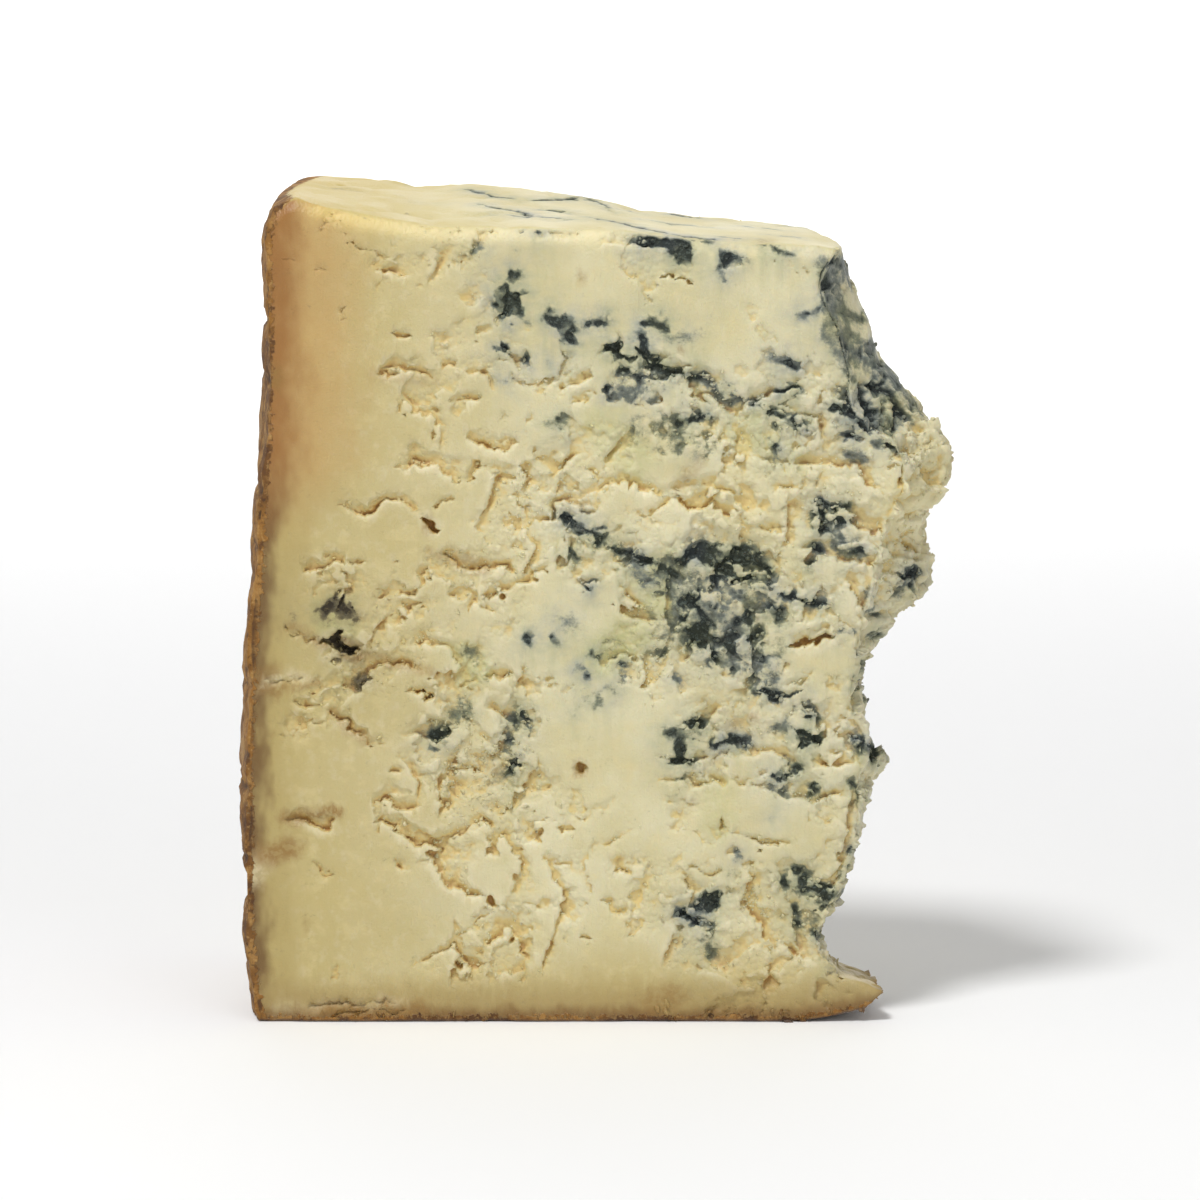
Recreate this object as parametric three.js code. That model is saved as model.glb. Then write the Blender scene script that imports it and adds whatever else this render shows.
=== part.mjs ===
// A wedge of blue-veined cheese, cut from the lower half of a tall round wheel, in millimetres.
// Two sides are knife cuts, the curved side and the base are rind, the top is a cut across the
// wheel, and the end where the wheel's axis was has broken away along its veins.
//
// While it is shaped, x runs from the rind towards the wheel's axis, y back from the front cut,
// and z up from the base. At the end the wedge is moved so that the middle of its base is the origin.
import * as THREE from "three";
import { mergeVertices } from "three/addons/utils/BufferGeometryUtils.js";

// The wheel, and how the wedge lies in it.
const WHEEL_RADIUS = 101;
const AXIS_X = 100;
const AXIS_BEHIND_FRONT_CUT = 15;
const WEDGE_HEIGHT = 117;
const RIND_END_DEPTH = 46;
const BROKEN_END_DEPTH = 20;

// The rind bulges most a little above the base, draws in towards the shoulder, and is worn
// round at its rims.
const BULGE_HEIGHT = 30;
const SHOULDER_HEIGHT = 98;
const BULGE_FALL = 3.3;
const BASE_WEAR = 1.7;
const BASE_WEAR_HEIGHT = 16;
const TOP_RIM_RADIUS = 6;
const RIND_TOP = 115;

// The top cut, as [distance from the rind, height], along its front edge and its back edge.
const TOP_AT_FRONT = [
  [0, 112.5], [4.5, 115.5], [6.6, 117], [8.4, 116.7], [14, 115], [22, 113.5], [28, 112.8],
  [50, 112.4], [56, 112], [64, 111], [81, 110], [86, 108.5],
];
const TOP_AT_BACK = [
  [0, 114], [7, 116.5], [21, 116], [24, 115], [30, 115.9], [40, 115.2], [49, 114.1],
  [56, 112.5], [68, 111.6], [79, 110.7], [86, 109],
];

// The broken end, as [height, reach from the rind]: the edge of the front cut, and the furthest
// reach of the break behind it.
const FRONT_EDGE = [
  [0, 84], [2.4, 87.6], [3.8, 90.5], [5.2, 90.3], [6.6, 85.4], [8.6, 83.2], [11, 81.4], [14, 80.8],
  [18, 82.6], [23.5, 84.7], [28, 86.6], [34.5, 86.5], [41.5, 87.3], [45, 86], [48.5, 85.2],
  [55, 86.4], [64, 88.3], [70, 89.7], [73, 90.6], [76, 93], [80.5, 92.4], [84, 91.5], [86, 88],
  [88.5, 84.8], [92, 85], [98.5, 83.2], [103, 80.4], [106, 80.8], [109, 83.5],
];
const BREAK_REACH = [
  [0, 84], [2.4, 86.8], [3.8, 89.4], [5.2, 89], [6.6, 84.8], [8.3, 82.6], [11.4, 81],
  [14.4, 82.4], [17.4, 84.3], [20.5, 84.6], [23.5, 85.4], [26.5, 86.6], [29.5, 87.3],
  [32.6, 89.7], [35.6, 90.7], [38.6, 89], [41.6, 86.2], [44.7, 87.6], [47.7, 86.4], [50.7, 88.3],
  [53.8, 89.5], [56.8, 91.5], [59.8, 95.3], [62.8, 97.4], [65.9, 96.9], [68.9, 95.8],
  [71.9, 95.7], [74.9, 98.8], [78, 99.6], [81, 100], [84, 97.8], [87, 94.8], [90, 92.4],
  [93, 89.7], [96, 88.4], [99, 87.8], [102, 86.2], [105, 85.2], [109, 83.6],
];
const BREAK_BASE = 2.4; // heights at which the broken end starts and ends
const BREAK_TOP = 109.2;
const FRONT_BEVEL_SHARE = 0.38; // share of the depth over which the break reaches its furthest
const FALL_START_SHARE = 0.55; // share of the depth from which it falls back to the back cut
const BACK_EDGE_SET_BACK = 3.5;

// Under the broken end the base rind curls up off the surface.
const BASE_CURL = [[78, 0], [81.6, 0.5], [86.3, 1.5], [89.6, 2.4], [92, 2.8]];

// Relief of the faces.
const RIND_RELIEF = 0.5;
const RIND_BUMP_SIZE = 9;
const BREAK_RELIEF = 1.3;
const BREAK_BUMP_SIZE = 5.2;
const BREAK_SLANT = 3; // how far the break's bumps climb and sink behind their furthest reach
const BREAK_SLANT_SIZE = 11;
const CUT_RELIEF = 0.35;
const CUT_BUMP_SIZE = 7;
const CUT_EDGE_WEAR = 1.1;

// Rows of facets across, through and up the wedge.
const ROWS_ACROSS = 24;
const ROWS_DEEP = 11;
const ROWS_UP = 60;
const EDGE_CROWDING = 0.1; // how strongly the rows through the depth crowd towards the two cuts
const MERGE_DISTANCE = 1e-4;

// The value at a place along a list of [place, value] pairs, straight between them.
function along(pairs, place) {
  const next = pairs.findIndex(([at]) => at >= place);
  if (next === 0) return pairs[0][1];
  if (next < 0) return pairs[pairs.length - 1][1];
  const [lowAt, low] = pairs[next - 1];
  const [highAt, high] = pairs[next];
  return low + ((high - low) * (place - lowAt)) / (highAt - lowAt);
}

// A smooth irregularity from -1 to 1 over two places on a face; size is about its bumps' size.
function wander(first, second, size) {
  const a = first / size;
  const b = second / size;
  return (
    0.5 * Math.sin(1.7 * a + 1.3 * Math.sin(1.1 * b)) +
    0.3 * Math.sin(2.9 * b + 1.9 * Math.sin(0.7 * a) + 2) +
    0.2 * Math.sin(4.3 * a - 3.7 * b + 5)
  );
}

// Distance of the rind's surface from the wheel's axis at a height.
function rindRadius(height) {
  const fall = BULGE_FALL * THREE.MathUtils.smoothstep(height, BULGE_HEIGHT, SHOULDER_HEIGHT);
  const baseWear = BASE_WEAR * Math.max(0, 1 - height / BASE_WEAR_HEIGHT) ** 2;
  const topWear = Math.max(0, height - WEDGE_HEIGHT + TOP_RIM_RADIUS) ** 2 / (2 * TOP_RIM_RADIUS);
  return WHEEL_RADIUS - fall - baseWear - topWear;
}

// Where the rind's surface lies at a depth behind the front cut.
function rindX(depth, height) {
  const radius = rindRadius(height) + RIND_RELIEF * wander(depth, height, RIND_BUMP_SIZE);
  const behindAxis = depth - AXIS_BEHIND_FRONT_CUT;
  return AXIS_X - Math.sqrt(radius ** 2 - behindAxis ** 2);
}

// Where the broken surface lies: it starts at the front cut's edge, swells, and falls back.
function breakX(depthShare, depth, height) {
  const swell = THREE.MathUtils.smoothstep(depthShare, 0, FRONT_BEVEL_SHARE);
  const behind = THREE.MathUtils.smoothstep(depthShare, FALL_START_SHARE, 1);
  const front = along(FRONT_EDGE, height);
  const slant = BREAK_SLANT * behind * wander(height, depth, BREAK_SLANT_SIZE);
  const reach = along(BREAK_REACH, height + slant);
  const relief = BREAK_RELIEF * wander(depth, height, BREAK_BUMP_SIZE) * behind;
  return front + (reach - front) * swell - BACK_EDGE_SET_BACK * behind + relief;
}

function thicknessAt(x) {
  return RIND_END_DEPTH - ((RIND_END_DEPTH - BROKEN_END_DEPTH) * x) / AXIS_X;
}

// A point of the wedge's surface from its three shares: rind to break, front to back, base to top.
function wedgePoint(acrossShare, depthShare, riseShare) {
  const level = riseShare * WEDGE_HEIGHT;
  const breakLevel = BREAK_BASE + riseShare * (BREAK_TOP - BREAK_BASE);
  const left = rindX(depthShare * RIND_END_DEPTH, riseShare * RIND_TOP);
  const right = breakX(depthShare, depthShare * BROKEN_END_DEPTH, breakLevel);
  const x = left + acrossShare * (right - left);

  const thickness = thicknessAt(x);
  const edgeWear = riseShare === 1 ? CUT_EDGE_WEAR : 0;
  const cutHollow = (CUT_RELIEF * (1 + wander(x, level, CUT_BUMP_SIZE))) / 2;
  const inset = edgeWear + cutHollow;
  const y = inset + depthShare * (thickness - 2 * inset);

  const base = along(BASE_CURL, x);
  const topFront = along(TOP_AT_FRONT, x);
  const top = topFront + depthShare * (along(TOP_AT_BACK, x) - topFront);
  return [x, y, base + riseShare * (top - base)];
}

// A box of facets whose points are then carried onto the wedge.
function wedgeGeometry() {
  const box = new THREE.BoxGeometry(1, 1, 1, ROWS_ACROSS, ROWS_DEEP, ROWS_UP);
  const points = box.getAttribute("position");
  for (let i = 0; i < points.count; i += 1) {
    const evenDepth = points.getY(i) + 0.5;
    const crowdedDepth = evenDepth - EDGE_CROWDING * Math.sin(2 * Math.PI * evenDepth);
    points.setXYZ(i, ...wedgePoint(points.getX(i) + 0.5, crowdedDepth, points.getZ(i) + 0.5));
  }
  box.deleteAttribute("normal");
  box.deleteAttribute("uv");
  const closed = mergeVertices(box, MERGE_DISTANCE);
  closed.computeBoundingBox();
  const { min, max } = closed.boundingBox;
  closed.translate(-(min.x + max.x) / 2, -(min.y + max.y) / 2, -min.z);
  closed.computeVertexNormals();
  return closed;
}

const paste = new THREE.MeshStandardMaterial({ color: 0xd8cd9f, roughness: 0.55, metalness: 0 });

const wedge = new THREE.Mesh(wedgeGeometry(), paste);
wedge.name = "cheese_wedge";

const part = new THREE.Group();
part.add(wedge);

export default part;
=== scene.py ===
"""A tall wedge of blue cheese: cut paste with torn curds and blue veins, brown rind, broken end.

Sizes are in millimetres, in the wedge's own measure: across from the rind (u), back from the
front cut (y), and up from the base (z). They are carried into the frame at the end of the mesh work.
"""
import math
from itertools import product

import bmesh
import bpy
import numpy as np
from mathutils import Euler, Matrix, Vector


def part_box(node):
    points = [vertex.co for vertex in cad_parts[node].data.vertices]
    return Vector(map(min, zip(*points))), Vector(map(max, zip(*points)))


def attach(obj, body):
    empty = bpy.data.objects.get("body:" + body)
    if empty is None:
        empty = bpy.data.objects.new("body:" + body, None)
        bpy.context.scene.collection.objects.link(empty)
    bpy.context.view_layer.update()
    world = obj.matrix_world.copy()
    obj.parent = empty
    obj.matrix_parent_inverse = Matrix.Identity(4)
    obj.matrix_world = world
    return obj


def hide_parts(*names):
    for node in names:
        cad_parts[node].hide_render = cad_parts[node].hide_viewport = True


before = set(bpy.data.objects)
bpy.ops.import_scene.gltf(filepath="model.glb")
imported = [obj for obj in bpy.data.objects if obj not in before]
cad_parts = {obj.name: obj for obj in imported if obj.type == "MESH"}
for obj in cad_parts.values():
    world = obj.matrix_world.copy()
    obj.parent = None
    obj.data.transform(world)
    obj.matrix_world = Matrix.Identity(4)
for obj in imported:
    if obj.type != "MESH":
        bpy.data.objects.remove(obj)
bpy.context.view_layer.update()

LOW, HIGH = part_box("cheese_wedge")
MM = 0.001

# ---------------------------------------------------------------- the wedge's main sizes
RIND_OVERHANG = 1.28           # the rind bulges this far past the zero of the across measure
WHEEL_RADIUS = 101.0
WHEEL_AXIS = (100.0, 15.0)     # across, back
BULGE_HEIGHT, SHOULDER_HEIGHT, BULGE_FALL = 30.0, 98.0, 3.3
BASE_WEAR, BASE_WEAR_HEIGHT = 1.7, 16.0
TOP_WEAR_START, TOP_WEAR_RADIUS = 111.0, 6.0
BASE_CURL_ACROSS = (78.0, 81.6, 86.3, 89.6, 92.0)
BASE_CURL_HEIGHT = (0.0, 0.5, 1.5, 2.4, 2.8)
TOP_EDGE_ACROSS = (0.0, 4.5, 6.6, 14.0, 22.0, 28.0, 56.0, 81.0, 86.0)
TOP_EDGE_HEIGHT = (112.5, 115.5, 117.0, 115.0, 113.5, 112.8, 112.0, 110.0, 108.5)
BACK_HALF_ANGLE = math.atan2(26.0, 100.0)

VOXEL = 0.22                   # the fine skin's mesh size before it is thinned
SMOOTHING_ROUNDS = 12
WEDGE_TRIANGLES = 196_000
KEEP_STRENGTH = 0.08           # how strongly the marked places hold their triangles

VEIN_SWELL = 1.25              # the listed veins' half widths are times this
VEIN_SOFTNESS = 1.4            # how gradually a vein ends
HALO_REACH = 1.7               # how far its grey-blue reaches
DRAG_REACH = 4.5               # how far the knife dragged it down

LIP_WIDTH = 0.1                # how sharp a hollow's lip is
STANDS_PROUD = 0.8             # how far untorn curd would stand out of the cut, had the knife left it
TEAR = 0.88                    # how much lower it stands where it is fully torn
STEP_HEIGHT = 0.4              # torn curd lies in flat steps of about this height
PLATE = 8.0                    # about how far apart the lips of torn plates lie
SINK, MORE_SINK = 0.9, 0.8     # how far a plate sinks towards a lip, and how much more if fully torn
DEEPEST = 2.4                  # no hollow is deeper
LOOSE_CLEFT = 0.05             # loose lumps take about the colours of what is round them
CLEFT_ROUNDS = (15, 60)        # how widely a place is compared with what is round it

# Gaps bitten out of the rind beside the front cut: height, half height, depth.
RIND_NOTCHES = [
    (18, 2.6, 2.7), (23.4, 0.8, 0.5), (33.5, 0.9, 0.5), (48, 1.0, 0.3), (76, 1.2, 0.4), (91, 1.2, 0.5),
    (99, 1.4, 0.5),
]

# ---------------------------------------------------------------- the camera, in the wedge's measure
VIEW_ACROSS, VIEW_DISTANCE, VIEW_HEIGHT = 49.8, 900.0, 196.0
AIM_HEIGHT = 60.4
FRAME_WIDTH = 168.1            # what the frame spans at the aim
SENSOR = 36.0

# The features of the front cut are laid out on a drawing of it as the camera sees it: what the
# drawing reads at the view's middle, and how large it is.
DRAWING_MIDDLE = (49.58, 59.86)
DRAWING_WIDTH = 169.0

# ---------------------------------------------------------------- torn places on the front cut
# A hollow's lip, from left to right: the curd above it sinks towards it, and it stands proud.
# Each is (path of (across, up), depth, how far the sinking starts above the lip).
FRONT_HOLLOWS = [
    ([(11.5, 73.4), (14, 73), (14.8, 72.4), (16.5, 71.5), (17.8, 72.5), (19.5, 73.6), (22, 73.7),
      (23, 73), (24.5, 71.8)], 0.9, 1.0),
    ([(26.3, 72.5), (27.5, 73.4), (29, 74.4)], 0.7, 0.7),
    ([(21.5, 79.8), (24, 79.4), (26.5, 78.5), (28, 77.6), (29.5, 76.5), (30.6, 75.8)], 1.0, 1.6),
    ([(30.4, 76), (31.6, 77.2), (32.3, 78), (33, 79.5)], 0.8, 0.8),
    ([(30.5, 83), (32.3, 81.8), (34, 81), (35.8, 80.5), (37, 81.3), (38.6, 82.6)], 0.9, 1.3),
    ([(36.6, 75.6), (38, 74), (39, 72.8), (40.5, 71.8), (43, 71.4)], 0.8, 0.9),
    ([(6.5, 64.1), (8.5, 64), (10.5, 64.4), (12.2, 65.5), (13.4, 65.2), (14.2, 64.5)], 0.8, 0.8),
    ([(14.6, 65.2), (17, 65.4)], 0.5, 0.4),
    ([(12.8, 63.7), (14.4, 63.4)], 0.5, 0.4),
    ([(26.3, 66.4), (28, 65.6), (30, 64.6), (32, 64.4), (34, 64.7), (36, 64.1), (38.6, 63.4)], 1.2, 1.4),
    ([(23.8, 63), (25.2, 63.8), (26, 64.5)], 0.8, 0.9),
    ([(20.5, 60.1), (22.5, 60.6), (23.8, 61.3), (24.3, 62.2)], 0.7, 0.6),
    ([(20.2, 57.5), (21.4, 58.1)], 0.6, 0.5),
    ([(30.4, 58), (31.3, 58.7), (32.2, 59.8)], 0.8, 0.9),
    ([(33, 60.2), (34.4, 60.2), (35.2, 61.4)], 0.9, 1.1),
    ([(16.3, 52.2), (18.5, 51.6), (20.5, 51), (23, 50.4), (26, 50)], 0.9, 0.9),
    ([(13, 53.4), (14.4, 52.2), (16.2, 51.6)], 1.6, 1.1),
    ([(4.5, 56.2), (6, 55.2), (7.5, 54.8), (9.6, 54.3)], 0.7, 0.5),
    ([(10.2, 44.6), (12, 43.5), (13.2, 42.8), (13.8, 41.8), (15.2, 41.2), (17.4, 40.2)], 0.9, 0.8),
    ([(5.8, 45.4), (8, 44.9), (10.2, 45.2)], 0.5, 0.7), ([(1.6, 48.1), (4, 48.5), (9, 48.2)], 0.5, 0.6),
    ([(22, 47.2), (24, 46.4), (25.6, 46), (27, 45.8)], 1.1, 1.0),
    ([(33, 49.6), (34, 48.5), (36.4, 48.4), (37.6, 49)], 1.0, 1.3),
    ([(16, 40.2), (18, 39.3), (19.6, 39.4)], 0.7, 0.9),
    ([(20, 36), (21.6, 35.3)], 0.8, 0.7),
    ([(28.6, 36.6), (29.6, 35.6), (31.4, 36.2), (32.6, 37)], 0.9, 1.4),
    ([(27.8, 31.6), (27.9, 33), (28.8, 34.4)], 0.7, 0.6),
    ([(4.8, 29.2), (7.4, 28.9), (9.4, 27.8), (11, 27.2), (12.4, 28.4), (13, 29.8)], 0.9, 1.5),
    ([(7, 1.6), (9, 2.4), (11, 2.9), (14, 3.1), (18, 3.3), (22, 3.4)], 0.6, 0.5),
    ([(10, 1.3), (13, 1.8), (17, 2.1), (20, 1.9), (25, 2.6)], 0.6, 0.4),
    ([(17, 30.8), (18.6, 31.6), (20, 32.4), (20.8, 31), (22.4, 30.2), (24, 30.8), (25, 31.2)], 1.0, 1.1),
    ([(17.8, 29.6), (19, 28.2), (20.4, 27.6), (22.4, 28)], 0.9, 1.3),
    ([(24.6, 27.2), (27, 26.2), (29.4, 26.6), (32, 28.4), (35, 29.6)], 1.1, 1.8),
    ([(33.8, 31.4), (34.8, 30.4), (36, 29.9)], 0.9, 0.9),
    ([(40.8, 33), (42, 33), (43, 34.2)], 0.6, 0.6),
    ([(8.5, 22.8), (10.4, 21.4), (12, 21.2)], 0.6, 0.9),
    ([(20.6, 22.8), (21.8, 21.4)], 0.7, 0.9),
    ([(41, 24.2), (43, 23), (46, 22.2)], 0.6, 0.8),
    ([(22, 6.6), (23, 7.2), (23.8, 8.4), (26, 9.8), (28.4, 10.9), (30, 12.5), (31.8, 14), (33.3, 15.8),
      (34.6, 17.6)], 0.7, 0.5),
    ([(34.8, 17.6), (36.4, 16.2), (38.6, 14.6), (40.4, 12.2)], 0.9, 1.5),
    ([(47.4, 93), (45.4, 93.6), (43.6, 91.2), (40.2, 90.4), (37.6, 91), (36.2, 92.8)], 0.7, 0.8),
    ([(45.6, 87.2), (46.6, 87.4), (48.6, 88.8), (50, 89.2)], 0.7, 1.1),
    ([(18.5, 93), (21, 92.6), (23, 91.8), (25.4, 91.2), (27, 90.2)], 0.6, 1.0),
    ([(20, 97.3), (21.6, 97), (22.8, 96.8)], 0.6, 0.8),
    ([(26.6, 93), (29.2, 93)], 0.5, 0.7),
    ([(28.8, 88), (31, 87.8), (33.4, 88)], 0.5, 0.8),
    ([(13, 110.2), (15.6, 109.6), (18.4, 108.6), (19.6, 107.6), (21, 106.6)], 0.45, 0.4),
    ([(3, 108.3), (6.6, 107.6), (8.6, 106.6), (12.4, 106.5)], 0.3, 0.4),
    ([(12.2, 101.2), (13, 100.8), (14.2, 101.2)], 0.7, 0.4),
    ([(12.8, 99.8), (14, 99.5)], 0.5, 0.4),
    ([(17.8, 92.2), (20, 91.4), (22, 91)], 0.6, 0.7),
    ([(47, 78.2), (48.6, 77.4), (50, 76.6), (52, 77)], 0.9, 1.2),
    ([(54, 70.6), (57.4, 72.4), (60, 74), (63, 74.6)], 0.7, 0.6),
    ([(44, 70.2), (46.4, 68.8), (48, 66.4)], 0.8, 1.2),
    ([(46.6, 63.4), (47.8, 62.4), (49.6, 61.4)], 0.7, 1.2),
    ([(48.5, 51.4), (50.6, 51.2), (52, 52.4), (54, 51.6), (55.4, 50.6)], 1.1, 1.9),
    ([(63, 75.4), (65.4, 76), (67.8, 75), (69.8, 74.6)], 1.0, 1.2),
    ([(66, 80.2), (67.4, 80.2), (68.8, 81)], 0.7, 0.5),
    ([(66.2, 81.6), (67, 83.4), (67.6, 85.2)], 0.7, 0.6),
    ([(61.2, 91.7), (63.6, 91.4), (65.2, 90.6), (66.4, 89), (67.8, 87.4)], 1.0, 1.3),
    ([(69.4, 87.6), (71.6, 88), (74.4, 88.9), (76.8, 89.6), (79, 89.9)], 1.2, 1.1),
    ([(74, 87.4), (76, 86.6), (78, 86), (80.4, 85.7), (82, 85.5)], 0.8, 1.0),
    ([(79, 83.2), (77.6, 81.4), (76, 79.4), (76.6, 77.6)], 0.6, 0.5),
    ([(82, 84.6), (84, 84.2), (86, 84.4)], 0.8, 0.8),
    ([(71.6, 70.2), (73, 69.6), (74.8, 69.6), (76, 70.4)], 1.2, 1.3),
    ([(72.4, 66.4), (73.6, 66.6), (74.6, 65.8)], 0.8, 0.6),
    ([(78.6, 74.4), (81, 73.4), (83, 73), (85.4, 73.6)], 1.0, 1.3),
    ([(76, 53.4), (78, 53.8), (80.2, 53.8), (81.4, 54.4), (83, 55.2)], 2.0, 1.0),
    ([(71, 46.6), (72.6, 47), (74, 46.2), (76, 46.5), (78.6, 47.2)], 0.9, 0.8),
    ([(67.6, 42.6), (68.6, 44.4), (70.4, 46)], 0.9, 1.0),
    ([(64.4, 37), (66.4, 37.8), (69.6, 38.4)], 0.6, 0.7),
    ([(64.6, 35.4), (66, 34.4), (67.6, 33.8)], 0.7, 0.8),
    ([(71, 33.4), (73.6, 33.8)], 0.7, 0.6),
    ([(51, 22.2), (52.4, 22.4), (54, 21.6)], 0.9, 0.7),
    ([(61.6, 21.6), (63.4, 21.8), (65.4, 21.2), (67.4, 21.4)], 0.7, 0.5),
    ([(49.8, 17.8), (51.6, 16.2), (53.6, 15.6)], 0.6, 0.9),
    ([(46.6, 11.8), (49, 11.9)], 0.6, 0.6),
    ([(72.4, 10.8), (74, 10.9)], 0.7, 0.6),
    ([(77.2, 7.2), (78, 7), (79, 8.6)], 0.6, 0.8),
    ([(71.2, 6.2), (73.4, 6.6)], 0.5, 0.7),
    ([(89.6, 69.6), (91.4, 70), (92.4, 70.6)], 0.8, 0.8),
    ([(90.4, 73.4), (91.6, 74), (92.6, 74.6)], 0.8, 1.0),
    ([(94.6, 69.6), (96, 68.8)], 0.7, 1.0),
]

# Narrow black or brown cracks: path, half width, depth.
FRONT_CRACKS = [
    ([(54.6, 95.3), (56, 93.4), (57.8, 92.7), (59.4, 92), (61.2, 91.7)], 0.22, 0.5),
    ([(50.4, 95.1), (51.4, 95.7), (52.3, 94.4), (54.1, 93.9)], 0.3, 0.5),
    ([(57.8, 105.4), (60, 105.5), (61.5, 105.1), (62.8, 104.6)], 0.14, 0.8),
    ([(24.9, 71.1), (25.4, 70.3), (26.1, 69.3)], 0.38, 1.8),
    ([(76.4, 53.6), (78.4, 53.7), (80.2, 53.8), (81.2, 54.5), (82.2, 54.6)], 0.3, 2.2),
    ([(10.2, 53.4), (11.5, 54.2), (12.6, 55.2)], 0.3, 1.6),
    ([(12, 53.9), (13.2, 53), (15, 52.2)], 0.45, 2.0),
    ([(34.4, 17.6), (34.7, 17.4)], 0.45, 1.5),
    ([(36.9, 35.2), (37.3, 36.2), (37.8, 36.9)], 0.3, 1.0),
    ([(47, 36.2), (46.8, 35.8)], 0.5, 1.3),
    ([(25.6, 46.1), (26.2, 45.9)], 0.3, 1.2),
    ([(23.6, 46.5), (24.4, 46.4)], 0.2, 1.0),
    ([(86.4, 93.2), (84.8, 93.7)], 0.2, 0.8),
    ([(86, 90.2), (87.4, 90.7), (89.6, 90.3), (91, 90.2)], 0.3, 1.4),
    ([(84, 97.1), (85, 97.6)], 0.2, 0.8),
    ([(66.4, 28.2), (66.6, 27.6)], 0.4, 0.9),
    ([(68.2, 62.3), (69.2, 62.6), (70.8, 63)], 0.22, 0.9),
]

# Torn and crumbly ground: centre across and up, half widths, how torn, how crumbly (0 to 1).
FRONT_GROUND = [
    (19, 69, 9, 7, 0.3, 0.0), (55, 77, 15, 7, 0.85, 0.2), (49, 64, 6, 5, 0.7, 0.2),
    (42, 55, 7, 6, 0.05, 0.0), (57, 54, 6, 6, 0.85, 0.8), (68, 60, 9, 8, 0.9, 0.7),
    (86, 66, 8, 14, 0.9, 0.8), (36, 61, 5, 6, 0.55, 0.1), (12, 39, 9, 8, 0.2, 0.0),
    (22, 49, 5, 3.5, 0.8, 0.6), (31, 42, 7, 9, 0.8, 0.8), (49, 37, 8, 10, 0.1, 0.0),
    (60, 31, 7, 8, 0.26, 0.1), (75, 28, 8, 5, 0.6, 0.4), (29, 25, 9, 6, 0.85, 0.5), (51, 20, 12, 6, 0.5, 0.2),
    (36, 13, 8, 5, 0.6, 0.5), (73, 17, 9, 9, 0.75, 0.6), (78, 38, 8, 9, 0.6, 0.4),
    (23, 96, 8, 9, 0.1, 0.0), (43, 95, 7, 6, 0.42, 0.3), (59, 88, 7, 5, 0.75, 0.6),
    (71, 101, 14, 10, 0.0, 0.0), (76, 91, 7, 5, 0.2, 0.0), (48, 105, 14, 6, 0.05, 0.0),
    (50, 4, 30, 4, 0.1, 0.0), (11, 17, 13, 12, 0.0, 0.0), (76, 77, 9, 6, 0.85, 0.3),
    (30, 84, 8, 5, 0.22, 0.0), (10, 84, 9, 22, 0.0, 0.0), (93, 82, 7, 10, 0.9, 0.8),
]
GROUND_ELSEWHERE = 0.42

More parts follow.
